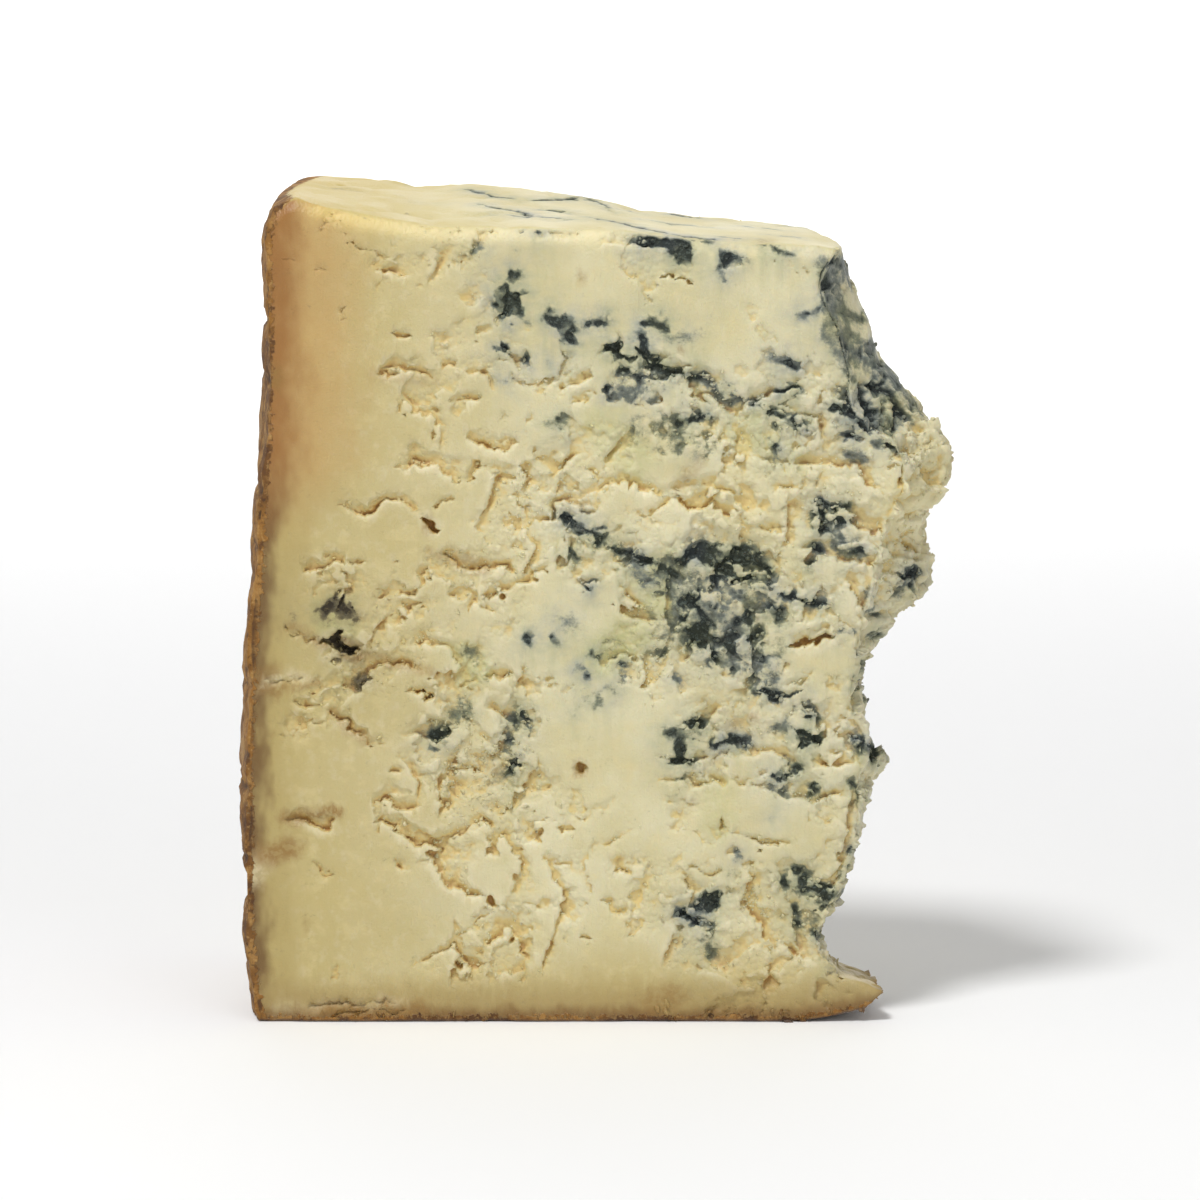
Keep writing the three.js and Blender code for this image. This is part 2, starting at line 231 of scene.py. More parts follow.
# ---------------------------------------------------------------- the blue mould
# On the front cut and the break beside it: path of (across, up), half width, strength. A strong
# vein is solid, a middling one is speckled, and a weak one only greys the paste.
FRONT_MOULD = [
    # upper left and the C-shaped patch
    ([(40.4, 112.6), (42.6, 113.4)], 0.9, 1.0), ([(39, 112), (40.2, 112.6)], 0.5, 0.5),
    ([(31.6, 109.2), (32.4, 109)], 0.4, 0.6), ([(33, 109.6), (34, 109)], 0.8, 0.3),
    ([(37.6, 109.3), (37.8, 108.9)], 0.4, 0.3),
    ([(36.7, 105.2), (38.3, 105.6)], 0.8, 1.0), ([(36, 103.9), (35.8, 102), (36.3, 100.4)], 1.1, 1.0),
    ([(36.4, 102.6), (37.4, 101.4), (38.4, 100.4)], 1.1, 1.0), ([(37, 103), (38.9, 102.8)], 0.5, 1.0),
    ([(37, 98.9), (37.2, 98.6)], 0.55, 0.9), ([(38, 99.9), (39.6, 99)], 0.6, 0.4),
    ([(35.2, 95.1), (35.9, 95)], 0.9, 0.8), ([(39.2, 93.9), (39.5, 93.7)], 0.6, 0.9),
    ([(36.1, 90.8), (36.2, 90.6)], 0.35, 0.8), ([(42.7, 93.2), (42.8, 93.1)], 0.2, 0.8),
    ([(42.6, 101), (43.2, 100.6)], 0.6, 0.9), ([(42.4, 99.9), (43.8, 98.8), (45, 97.2), (45.8, 96)], 0.9, 1.0),
    ([(44.4, 99.5), (46, 98.1)], 0.9, 0.9), ([(47.3, 98.6), (48.8, 98.8), (50.4, 99.3)], 0.6, 1.0),
    ([(42, 84.5), (43.2, 84.9), (44.6, 85.4)], 0.8, 0.5), ([(44.2, 83.6), (44.3, 83.5)], 0.15, 0.9),
    # below the top edge
    ([(55, 109.9), (57, 110.6), (59.4, 110.2), (60.6, 110.4)], 0.8, 1.0),
    ([(60.2, 110.8), (60.9, 109.4), (61.3, 108.4)], 1.7, 1.0),
    ([(62.6, 110.9), (64.2, 110.6), (66, 110.9)], 0.65, 1.0),
    ([(61.8, 111.6), (63.2, 111.5)], 0.9, 0.7),
    ([(66.8, 107.2), (67.6, 108.4), (68.8, 108.3)], 0.85, 1.0), ([(67.2, 106.4), (67.4, 105)], 0.28, 0.8),
    ([(68.6, 107.8), (70.4, 107.8)], 0.9, 0.35),
    ([(64, 106), (64.1, 105.9)], 0.35, 0.6),
    ([(72.4, 110.2), (73.8, 109.9), (75, 109), (77, 108.4)], 0.42, 1.0),
    ([(74, 93.9), (75.4, 93.4), (77, 92.7)], 0.5, 1.0),
    ([(73.4, 94.2), (74.4, 93.9)], 0.8, 0.4),
    ([(55, 84.4), (60, 83), (65, 81.6)], 2.6, 0.3),
    # the column and cracks right of the middle
    ([(56, 98.7), (57, 99.3), (58.2, 98.6), (59.2, 98)], 0.85, 1.0),
    ([(55.2, 97.3), (55.6, 95.6), (55.8, 94.2)], 0.95, 1.0), ([(55.6, 94), (55.2, 92), (55, 90.4)], 0.9, 0.7),
    ([(58, 97.2), (60.4, 97), (62.2, 97.2)], 0.6, 0.55), ([(62, 97.2), (65, 97.6)], 0.7, 0.25),
    ([(50.4, 95.1), (51.4, 95.7), (52.3, 94.4), (54.1, 93.9)], 0.6, 1.0),
    ([(54.2, 95.3), (56, 93.3), (57.8, 92.7), (59.6, 92), (61.4, 91.7), (64, 91.3)], 0.3, 1.0),
    ([(52, 91.8), (53.2, 92), (54.4, 91.4)], 0.5, 0.8), ([(50, 89.6), (51, 89), (51.4, 88.6)], 0.45, 0.8),
    ([(52, 89.6), (54.5, 89), (57, 91), (58.6, 90.6)], 1.3, 0.5), ([(56.5, 88.2), (56.7, 87.8)], 0.4, 0.7),
    ([(64, 91), (66.2, 89.2), (67.8, 87.4), (69, 88.2), (70.6, 87.6)], 0.35, 0.6),
    ([(67, 90), (69.4, 89.4)], 0.6, 0.45),
    ([(60.2, 84.8), (61.4, 85.4), (63, 85.6), (64.6, 86)], 0.32, 1.0), ([(62, 86), (65.4, 86.6)], 0.8, 0.25),
    ([(61.4, 83.6), (61.3, 83.4)], 0.22, 0.8), ([(61.1, 81.3), (61.1, 81.1)], 0.2, 0.7),
    ([(74.6, 88.9), (76.8, 89.6), (77.4, 89.4)], 0.28, 0.9), ([(76.8, 89.2), (76.4, 88)], 0.35, 0.8),
    ([(71.6, 87.6), (74, 86.4), (76, 85.2), (78.6, 84)], 0.4, 0.95), ([(72.4, 87.2), (76, 85.6)], 0.9, 0.35),
    ([(74.5, 84.8), (74.7, 84.4)], 0.4, 0.8), ([(74.2, 82.4), (74.6, 81.4), (74.8, 80.8)], 0.35, 0.8),
    ([(74, 81), (73.6, 78.6)], 0.8, 0.3),
    # the broken end, upper part
    ([(82.6, 106), (83.6, 103), (84.8, 99), (86.6, 95.4), (89.6, 92), (92.6, 89.4)], 3.6, 0.6),
    ([(85, 107), (87, 103), (88.6, 98.6), (91, 95), (94.4, 91.6)], 3.0, 0.66),
    ([(85.4, 88.4), (90, 87.6), (95, 87.4)], 2.4, 0.5), ([(95.4, 90), (97.4, 86.6)], 1.4, 0.5),
    ([(84.4, 105.4), (85, 101), (86, 96.6), (87.6, 93.4)], 2.4, 0.62), ([(90.4, 92), (93, 89.6)], 2.0, 0.55),
    ([(83, 107.4), (82, 106.6), (81.4, 105), (81.2, 103.4), (82, 102.2)], 0.8, 0.9),
    ([(82.4, 106.8), (84.6, 107.4), (86, 106)], 0.8, 0.7), ([(82.6, 102.8), (83.6, 101.6)], 0.6, 0.8),
    ([(78, 100.1), (79.4, 100.4), (80.6, 101.4)], 0.4, 0.95), ([(79, 99.8), (80, 100.4)], 0.6, 0.5),
    ([(83.6, 100.4), (85, 100.2), (86.6, 101.6), (88, 102.6)], 1.3, 0.7),
    ([(83.4, 99.4), (83.8, 98.2)], 0.4, 0.7), ([(86, 99), (88.4, 98.6), (88.6, 96.6)], 1.3, 0.6),
    ([(83, 98.4), (84.2, 95), (84.6, 91)], 0.9, 0.3),
    ([(85.2, 95), (86, 94)], 0.5, 0.8), ([(86.4, 97), (87.4, 95.6)], 1.2, 0.55),
    ([(87, 93.8), (89.4, 93), (91.6, 92.4)], 1.1, 0.8), ([(89, 91.4), (90.4, 91), (92, 90)], 0.8, 0.95),
    ([(86, 90.2), (87.6, 90.7), (89.6, 90.3), (91, 90.2)], 0.35, 1.0),
    ([(91, 92.6), (92.6, 91.4)], 0.8, 0.7), ([(93.4, 91.3), (93.6, 91.1)], 0.35, 0.9),
    ([(94.4, 89.6), (94.6, 89.4)], 0.25, 0.8), ([(86.6, 89.2), (86.8, 89)], 0.3, 0.8),
    ([(83, 87), (84.2, 86.2), (85.6, 85.4), (87.4, 85.6), (89.4, 85.4), (91.2, 85.2)], 0.75, 1.0),
    ([(86, 88.2), (87.6, 87.2), (88.8, 86.4)], 0.85, 0.95), ([(91, 88.6), (92.2, 87.2), (94, 88)], 1.0, 0.6),
    ([(90, 89), (91.4, 87)], 1.1, 0.45), ([(87, 84.6), (87.6, 83.9)], 0.22, 0.9),
    ([(84, 83.1), (85.6, 82.6)], 0.35, 0.9), ([(88, 82.2), (90, 81.6), (91.6, 81.1)], 0.35, 0.7),
    ([(84.2, 81.8), (84.3, 81.4)], 0.22, 0.8), ([(84.8, 79.8), (86.8, 79.8)], 0.9, 0.4),
    # the diagonal vein to the middle
    ([(44, 71.7), (45.5, 71), (46.8, 70.3), (48, 69.4), (49.2, 68.4)], 0.5, 1.0),
    ([(46.6, 70.6), (50, 70.1)], 0.25, 0.8), ([(49.5, 69.2), (51, 68), (52.8, 67)], 0.9, 0.35),
    ([(51.8, 67), (54.2, 66.4), (56, 65.6), (57, 64.8), (58.5, 63.8), (60, 62.8)], 0.5, 0.9),
    ([(53.6, 65.4), (56, 63.6), (58, 62.4), (60, 61)], 1.2, 0.5),
    ([(54, 64.4), (55, 63.8)], 0.7, 0.55), ([(45.2, 66.5), (46.6, 65.2)], 0.28, 0.7),
    ([(48.1, 61.6), (48.4, 61.3)], 0.45, 0.9),
    # the middle mass
    ([(60, 63), (65, 62), (70, 61.4), (73, 60)], 4.2, 0.36), ([(62, 57), (67, 55), (70, 52)], 4.0, 0.4),
    ([(63, 60), (65, 57.4), (67.6, 54)], 2.4, 0.5), ([(70, 58), (73, 55), (73, 50)], 2.6, 0.34),
    ([(61.2, 65), (62.2, 66.3), (64, 67), (66, 66.4), (68, 65.9), (70.4, 66), (71.6, 65.6)], 0.85, 1.0),
    ([(64.4, 65.7), (66.4, 64.6), (67.6, 63)], 1.15, 1.0), ([(68, 65.2), (70.8, 65.2)], 0.7, 0.9),
    ([(71.8, 65.3), (73, 64), (73.7, 63.2)], 0.32, 1.0), ([(68.2, 62.3), (69.2, 62.6), (70.8, 63)], 0.28, 1.0),
    ([(66, 62.6), (67, 61.4)], 0.8, 0.6), ([(68.4, 61), (69.4, 60.7)], 0.5, 0.7),
    ([(72.2, 61.7), (73.8, 61.4)], 0.8, 0.75), ([(60, 61), (60.6, 59.6)], 0.8, 0.5),
    ([(61, 59.4), (63, 59.6), (65, 59)], 1.2, 0.8), ([(62, 57.2), (64, 57), (66, 57.4)], 1.6, 0.75),
    ([(61, 55), (63.4, 54.6), (64, 53)], 1.2, 0.7), ([(66, 56), (66.2, 53.4), (65.4, 51)], 0.9, 0.65),
    ([(66.6, 58.6), (68, 58.4)], 1.0, 0.5), ([(70.3, 57.2), (70.4, 56.4)], 0.85, 0.95),
    ([(68.4, 57), (69, 56.6)], 0.5, 0.8), ([(73.4, 58.2), (74.8, 58), (74.8, 57)], 0.9, 0.75),
    ([(68, 53.8), (68, 52.8)], 0.9, 0.85), ([(69.6, 54.2), (71.4, 54.4), (72.2, 55.2)], 0.45, 0.85),
    ([(71.8, 52.8), (72.4, 51), (73.4, 50)], 0.75, 0.65), ([(69, 52.4), (70.6, 51.6)], 1.1, 0.5),
    ([(68.2, 50.4), (68.6, 50.1)], 0.35, 0.8), ([(71, 49.6), (73.4, 48), (74.2, 47)], 1.1, 0.5),
    ([(57.2, 56.6), (58.4, 55.6), (59.6, 54.6)], 1.3, 0.35), ([(57, 52.8), (58.8, 52.8)], 0.3, 0.7),
    ([(75.6, 60.4), (77.2, 60.2), (79, 60), (80.4, 59.6), (81.6, 59.3)], 0.36, 0.95),
    ([(76.8, 61), (77.2, 60.4)], 0.25, 0.9), ([(74, 60.6), (78, 60)], 0.9, 0.35),
    ([(60.4, 48.9), (61, 48.5)], 0.4, 0.55), ([(50.4, 53), (53, 55)], 1.4, 0.2),
    # left of the middle, low
    ([(45, 57.2), (46, 56.4)], 1.1, 0.5), ([(43.6, 57.3), (44.6, 57)], 0.3, 0.8),
    ([(39, 54.8), (40.1, 53.8)], 0.55, 0.95), ([(42.3, 54.7), (43.4, 53.9)], 0.4, 0.95),
    ([(44.6, 55), (46.4, 55.8)], 0.7, 0.35), ([(46, 55.2), (46.1, 55.1)], 0.2, 0.8),
    ([(48.6, 52.4), (48.9, 52)], 0.75, 0.9), ([(46, 50.2), (48, 49.8)], 0.3, 0.8),
    ([(47.4, 49.3), (47.8, 49)], 0.6, 0.85), ([(52.4, 50.6), (52.8, 50.4)], 0.4, 0.8),
    ([(53, 48.6), (53.2, 48)], 0.9, 0.35), ([(46.6, 46.5), (47, 46.4)], 0.8, 0.45),
    ([(49, 45.8), (49.6, 45.5)], 0.8, 0.6), ([(50.5, 47.5), (51.8, 46.6)], 0.25, 0.7),
    ([(46.1, 44.2), (46.2, 44)], 0.25, 0.7),
    ([(9.6, 58.3), (11, 58.9), (12.4, 60.4)], 0.35, 0.9), ([(12.4, 60.4), (13.4, 59.2), (15, 58.6)], 0.4, 0.8),
    ([(10.8, 58.2), (12.4, 58.8), (14.2, 57.8)], 0.95, 1.0), ([(11.6, 59.2), (13.2, 59.6)], 0.7, 1.0), ([(12.2, 57.4), (12.6, 55)], 1.1, 0.45), ([(11.6, 54.4), (12.6, 53.6), (14.6, 52.4)], 0.55, 0.9),
    ([(12, 55.2), (13, 54.4)], 0.6, 0.6), ([(6, 58), (6.5, 57.9)], 0.45, 0.5),
    ([(15.6, 48.4), (16.6, 48)], 0.9, 0.55), ([(11.6, 51.6), (12.4, 50.8)], 0.9, 0.35),
    ([(31, 53), (32, 51.4)], 1.3, 0.28), ([(29.4, 43.6), (31, 44.4)], 1.4, 0.4),
    ([(26.4, 40.2), (27.8, 41)], 0.7, 0.8), ([(26, 38.9), (26.2, 38.7)], 0.4, 0.7),
    ([(38.2, 44.4), (38.5, 43.4), (39.4, 43)], 0.38, 1.0), ([(37.6, 42.8), (37, 41.4)], 0.6, 0.6),
    ([(38, 42), (39.4, 41.2)], 0.9, 0.45), ([(36.4, 40.2), (36.7, 39.8)], 0.4, 0.6),
    ([(37.2, 38.4), (37.6, 37.4)], 0.4, 0.7), ([(37, 35.2), (37.4, 36.2), (38.2, 36.8)], 0.4, 0.95),
    ([(36.8, 39.6), (37.2, 36)], 1.2, 0.25),
    # the Y-shaped patch and what lies right of it
    ([(58.6, 41.2), (61, 40.8), (63, 41.4)], 1.1, 0.75), ([(62.4, 42.6), (63.6, 41.2)], 1.0, 0.95),
    ([(61.2, 40.6), (60.9, 38.2)], 0.95, 1.0), ([(59.6, 36.9), (60.8, 37.4), (62, 37)], 0.6, 1.0),
    ([(60.9, 36), (60.6, 33)], 0.8, 0.3), ([(65.6, 39.3), (67.4, 39.8), (69, 40)], 0.42, 1.0),
    ([(69, 40.1), (71.4, 39.5)], 0.3, 0.7), ([(79, 43.9), (79.8, 43.6)], 0.6, 0.95),
    ([(77.2, 44.4), (78, 44)], 0.4, 0.6), ([(73.6, 41.4), (75.4, 42), (76.8, 41.6)], 0.7, 0.5),
    ([(77.2, 40.5), (78.4, 40.8), (79.8, 40.2)], 0.7, 1.0), ([(78.4, 40), (78.3, 39.2)], 0.8, 1.0),
    ([(78.2, 38.6), (77.8, 37)], 0.28, 0.9), ([(77.3, 36.2), (77.4, 35.8)], 0.55, 1.0),
    ([(74, 34.9), (75.2, 35.1), (76.2, 35)], 0.45, 1.0), ([(74.2, 33), (76, 32.6)], 0.8, 0.45),
    ([(75.4, 37.2), (75.5, 37)], 0.2, 0.8), ([(79.6, 33.3), (80.1, 33)], 0.5, 0.95),
    ([(84.6, 34.2), (85.8, 33.8)], 0.6, 0.65), ([(71.2, 46.7), (72.8, 46.9), (74.4, 46)], 0.42, 0.95),
    ([(74.4, 46), (76.4, 46.4), (78.4, 47.1)], 0.16, 0.8), ([(78, 45), (80, 46)], 1.0, 0.25),
    ([(74, 29.4), (74.1, 29)], 0.35, 0.6), ([(69, 24.4), (68.6, 23.2)], 0.5, 0.55),
    ([(67.6, 21.4), (68.4, 21.6)], 0.7, 0.45),
    # low, right of the middle
    ([(61, 15.6), (63, 15.6), (64.6, 16.4), (66, 18)], 0.75, 1.0), ([(64, 16.8), (65.4, 17.6)], 0.8, 1.0),
    ([(63, 14.8), (63.5, 13.8)], 0.5, 0.85), ([(63.6, 12.6), (65, 11), (64.8, 9.4)], 0.9, 0.45),
    ([(64.8, 14.4), (65.2, 12.4)], 0.4, 0.6), ([(61, 11), (62, 11.4)], 0.5, 0.4),
    ([(76.8, 21.4), (78, 20.8), (78.8, 20.4)], 0.65, 1.0), ([(75, 20), (76.4, 20)], 0.35, 0.9),
    ([(77, 19.4), (78.6, 18.8)], 0.8, 0.55), ([(79, 19.4), (80.4, 18.6), (82, 18.4), (83.8, 18.6)], 0.75, 0.95),
    ([(80, 17.2), (82, 16.6)], 0.7, 0.7), ([(77.2, 16.4), (77.4, 15.2)], 0.3, 0.8),
    ([(77.2, 14.3), (77.6, 14.1)], 0.45, 0.95), ([(80.4, 12.8), (81, 12)], 0.6, 0.85),
    ([(79.8, 15), (81, 15.6)], 1.0, 0.35), ([(81.8, 8.6), (83, 8.8)], 0.9, 0.25),
    # small patches on the right
    ([(80.2, 73.2), (82, 72.8), (84, 73)], 0.35, 0.9), ([(80.2, 71.6), (81.2, 71)], 0.75, 0.85),
    ([(82.4, 71.8), (83.4, 70.4), (84.2, 70.2)], 0.6, 0.85), ([(80.6, 70), (81.8, 69)], 0.6, 0.8),
    ([(81.4, 72), (83.2, 71.2)], 1.5, 0.5), ([(79.9, 67.2), (80.2, 66.9)], 0.5, 0.95),
    ([(83.2, 67.8), (84.6, 66.8), (86.8, 67)], 1.0, 0.6), ([(85.8, 67.4), (86.6, 67.2)], 0.35, 0.9),
    ([(79, 64.8), (79.6, 64.9)], 0.35, 0.7), ([(93, 63), (93.6, 61.6), (94.4, 64)], 0.9, 0.7),
    ([(92.6, 60.8), (91.4, 60.2)], 0.7, 0.45), ([(87.8, 60.5), (88.4, 60.3)], 0.4, 0.6),
    ([(88.2, 58.2), (88.7, 57.8)], 0.55, 0.7), ([(88.8, 55.6), (89, 54.6)], 0.6, 0.8),
    ([(83, 55.1), (85, 55.3)], 0.3, 0.6), ([(87, 51.2), (87.4, 49.4), (86.4, 49.2)], 0.5, 0.9),
    ([(85.6, 47.7), (86.6, 47.7)], 0.35, 0.9), ([(88, 49), (89, 47.6)], 0.9, 0.7),
    ([(86.6, 46.6), (87, 45.6)], 0.5, 0.8), ([(86.4, 39.6), (87.4, 38.8), (88.4, 37.6)], 1.1, 1.0),
    ([(88.2, 41.4), (88, 40)], 0.7, 0.9), ([(90.6, 37), (91.2, 37.2)], 0.6, 0.7),
    ([(86.4, 32.4), (86.6, 32)], 0.45, 0.8), ([(87, 28.6), (87.4, 28)], 0.55, 0.9),
    ([(85.4, 24.4), (86.4, 24)], 0.8, 0.8), ([(85.2, 22.4), (84.6, 20), (83.4, 17.6)], 0.9, 0.6),
]

# Stains on the front cut: kind, path of (across, up), half width, strength.
FRONT_STAINS = [
    ("brown", [(5.6, 29.2), (8.4, 29.4), (11, 29.2)], 0.9, 0.75), ("brown", [(11.6, 29.9), (12.8, 29.9)], 0.6, 1.0),
    ("brown", [(8, 1.6), (14, 2.2), (24, 2.4)], 0.6, 0.7), ("bloom", [(9, 2.3), (16, 2.9), (22, 3.2)], 0.25, 0.8),
    ("brown", [(2.6, 24), (6, 24.6)], 1.3, 0.9), ("brown", [(57, 3.4), (60.4, 4.2)], 1.5, 0.6),
    ("brown", [(8, 14), (8.3, 14)], 0.35, 0.6), ("brown", [(61.3, 96), (61.5, 96)], 0.35, 0.8),
    ("brown", [(46.6, 105.3), (46.9, 105.3)], 0.4, 0.7), ("brown", [(72.4, 111.4), (73.2, 111.2)], 0.8, 0.9),
    ("brown", [(12, 54), (14, 53), (15.8, 51.8)], 0.9, 0.9), ("brown", [(6.4, 56), (10, 54.2)], 0.7, 0.6),
    ("brown", [(71.1, 44), (71.1, 44.4)], 0.5, 0.5), ("brown", [(68.5, 42), (68.5, 42.4)], 0.5, 0.5),
    ("brown", [(24.9, 71.1), (25.6, 69.8)], 0.5, 0.7), ("brown", [(26.2, 66.4), (34, 64.8)], 0.6, 0.45),
    ("brown", [(16.4, 52), (26, 50)], 0.6, 0.5), ("brown", [(12, 43.4), (17, 40.6)], 0.5, 0.5),
    ("brown", [(3, 90.4), (3.6, 91.6)], 0.9, 0.9), ("brown", [(17.6, 91.8), (26, 90.8)], 0.7, 0.25),
    ("brown", [(12, 1.6), (22, 1.8)], 1.0, 0.7), ("brown", [(36, 35.4), (37, 35)], 0.5, 0.6),
    ("brown", [(46.6, 36.2), (47, 36)], 0.5, 0.8), ("brown", [(61, 76), (64, 80)], 0.6, 0.35),
    ("bloom", [(2, 48.4), (5, 49), (9, 48.7)], 0.45, 0.9), ("brown", [(2, 47.6), (5, 47.4), (10, 47.8)], 0.4, 0.6),
    ("brown", [(1.6, 50), (4, 50.2)], 0.8, 0.5), ("bloom", [(0.4, 21), (2.4, 23.4)], 1.1, 0.9),
    ("bloom", [(0.6, 94.4), (0.8, 98)], 0.5, 0.5),
    ("clean", [(84.6, 103.4), (86, 101.8)], 0.9, 0.9), ("clean", [(86.6, 98.4), (87.6, 97.4)], 0.7, 0.8),
    ("clean", [(89.4, 94.8), (90.6, 93.8)], 0.6, 0.8), ("clean", [(85.6, 92.4), (86.6, 91.6)], 0.6, 0.7),
    ("bloom", [(4, 2.4), (9, 2.2)], 0.9, 0.4), ("olive", [(50, 52), (54, 54.6)], 2.6, 0.6),
    ("olive", [(30.6, 52), (32, 50)], 2.2, 0.5), ("olive", [(11, 57.4), (13.6, 56)], 1.7, 0.5),
    ("olive", [(56, 64), (58, 60)], 2.2, 0.5), ("olive", [(50, 84), (54, 80)], 2.6, 0.35),
    ("olive", [(70, 84), (76, 80)], 2.2, 0.3), ("olive", [(66, 33), (66, 28)], 2.0, 0.3),
]

# On the top cut: path of (across, back from the front cut), half width, strength.
TOP_MOULD = [
    ([(31, 31), (34, 27.5), (37, 25)], 0.45, 0.9), ([(33, 19), (37, 15.5), (41, 12)], 0.4, 0.85),
    ([(40, 24), (44, 26.5), (46.5, 31)], 0.5, 0.95), ([(42, 17), (44.6, 16.4)], 0.45, 1.0),
    ([(35, 12), (40, 11), (46, 9)], 0.3, 0.8), ([(46.6, 32), (49, 30), (51.4, 23)], 0.45, 0.8),
    ([(48, 13), (53, 9), (56, 5), (59.5, 2.6), (66, 2.2)], 0.5, 0.9), ([(60, 27), (62, 25), (64, 24.4)], 0.6, 0.9),
    ([(12, 27), (14.6, 26)], 0.7, 0.35), ([(76.6, 24), (79, 23.4), (81, 22.6)], 0.4, 0.8),
    ([(73, 11), (77, 10.4), (79, 8.6)], 0.5, 0.4), ([(66, 5), (71, 4)], 0.4, 0.6),
    ([(24, 22), (28, 20)], 0.4, 0.35), ([(55, 17), (60, 15), (66, 15.6)], 0.35, 0.6),
    ([(70, 19), (75, 17)], 0.5, 0.7), ([(52, 26), (56, 23.6)], 0.4, 0.6),
]

# Veins drawn by chance on the back cut and the broken end: how many, and where they gather.
BACK_VEINS = 120
BACK_VEIN_SEED = 11
BREAK_VEINS = 34
BREAK_VEIN_SEED = 5


# ---------------------------------------------------------------- noise
AXIS_FACTORS = (0x9E3779B1, 0x85EBCA77, 0xC2B2AE3D)
LATTICE_TURN = np.array(Euler((0.6, 0.5, 0.9)).to_matrix(), np.float32)  # no rows along the faces


def lattice_keys(cell, steps, seed):
    """For each axis and step along it, what the cell there adds to its number."""
    cell = cell.astype(np.int32).view(np.uint32)
    keys = [
        [(cell[:, axis] + np.uint32(step & 0xFFFFFFFF)) * np.uint32(factor) for step in steps]
        for axis, factor in enumerate(AXIS_FACTORS)
    ]
    keys[0] = [key ^ np.uint32(seed * 0x27D4EB2F & 0xFFFFFFFF) for key in keys[0]]
    return keys


def scramble(mixed):
    """A repeatable number from 0 to 1 from a cell's mixed keys."""
    for shift, factor in ((15, 0x2C1B3C6D), (12, 0x297A2D39)):
        mixed = (mixed ^ (mixed >> np.uint32(shift))) * np.uint32(factor)
    return (mixed ^ (mixed >> np.uint32(15))).astype(np.float32) / np.float32(0xFFFFFFFF)


def noise(points, size, seed):
    """Smooth noise from -1 to 1; size is its bumps' size, one number or one for each axis."""
    place = points / np.asarray(size, np.float32) @ LATTICE_TURN + np.float32(7.31 * seed)
    cell = np.floor(place)
    share = place - cell
    share = share * share * (3 - 2 * share)
    keys = lattice_keys(cell, (0, 1), seed)
    total = np.zeros(len(points), np.float32)
    for i, j, k in product((0, 1), repeat=3):
        weight = 1
        for axis, step in enumerate((i, j, k)):
            weight = weight * (share[:, axis] if step else 1 - share[:, axis])
        total += weight * scramble(keys[0][i] ^ keys[1][j] ^ keys[2][k])
    return 2 * total - 1


def clouds(points, size, seed, octaves=3):
    """Noise with finer and finer noise added."""
    size = np.array(size, float)
    layers = [noise(points, size / 2**i, seed + i) / 2**i for i in range(octaves)]
    return sum(layers) / (2 - 2 ** (1 - octaves))


def swirled(points, amount, size, seed):
    """The points moved about by noise."""
    moves = [noise(points, size, seed + axis) for axis in range(3)]
    return points + amount * np.column_stack(moves)


def lumps(points, size, seed):
    """The nearest of many scattered centres: the way from it in sizes, its number, the next's gap."""
    place = points / np.asarray(size, np.float32) @ LATTICE_TURN
    cell = np.floor(place)
    keys = [lattice_keys(cell, (-1, 0, 1), seed + i) for i in range(4)]
    nearest = np.full(len(points), 9.0, np.float32)
    second = nearest.copy()
    way = np.zeros((len(points), 3), np.float32)
    number = np.zeros(len(points), np.float32)
    for i, j, k in product(range(3), repeat=3):
        jitter = [scramble(key[0][i] ^ key[1][j] ^ key[2][k]) for key in keys]
        off = place - cell - (np.column_stack(jitter[:3]) * 0.86 + np.float32([i, j, k]) - 0.93)
        distance = np.sqrt((off * off).sum(1))
        closer = distance < nearest
        second = np.where(closer, nearest, np.minimum(second, distance))
        nearest = np.where(closer, distance, nearest)
        way = np.where(closer[:, None], off, way)
        number = np.where(closer, jitter[3], number)
    return way @ LATTICE_TURN.T, number, second - nearest


def rise(value, low, high):
    """0 below low, 1 above high, smooth between; high may be the smaller."""
    share = np.clip((value - low) / (high - low), 0, 1)
    return share * share * (3 - 2 * share)


# ---------------------------------------------------------------- paths on a face
class NearPath:
    """The places within reach of a path, and how each lies to it."""

    def __init__(self, places, path, reach):
        path = np.array(path, float)
        inside = (places > path.min(0) - reach) & (places < path.max(0) + reach)
        self.which = np.flatnonzero(inside.all(1))
        here = places[self.which]
        self.distance = np.full(len(here), np.inf)
        self.left = np.zeros(len(here))
        self.share = np.zeros(len(here))
        lengths = np.linalg.norm(np.diff(path, axis=0), axis=1)
        begun = 0.0
        for start, end, length in zip(path, path[1:], lengths):
            way = (end - start) / length
            off = here - start
            run = np.clip(off @ way, 0, length)
            off = off - run[:, None] * way
            distance = np.linalg.norm(off, axis=1)
            closer = distance < self.distance
            side = way[0] * off[:, 1] - way[1] * off[:, 0]
            self.distance[closer] = distance[closer]
            self.left[closer] = (np.where(side < 0, -1, 1) * distance)[closer]
            self.share[closer] = ((begun + run) / lengths.sum())[closer]
            begun += length


def chance_veins(count, seed, across, up, tilt):
    """Vein paths drawn by chance within the given ranges, thicker and stronger in places."""
    draw = np.random.default_rng(seed)
    veins = []
    for _ in range(count):
        centre = np.array([draw.triangular(across[0], across[1], across[1]), draw.uniform(*up)])
        heading = draw.normal(0, tilt)
        length = draw.gamma(2.2, 2.2)
        run = np.linspace(-0.5, 0.5, 5) * length
        path = centre + np.column_stack([np.cos(heading) * run, np.sin(heading) * run])
        path[:, 1] += draw.normal(0, 0.35, 5)
        veins.append((path, draw.gamma(2.4, 0.28), min(1.0, draw.uniform(0.35, 1.25))))
    return veins


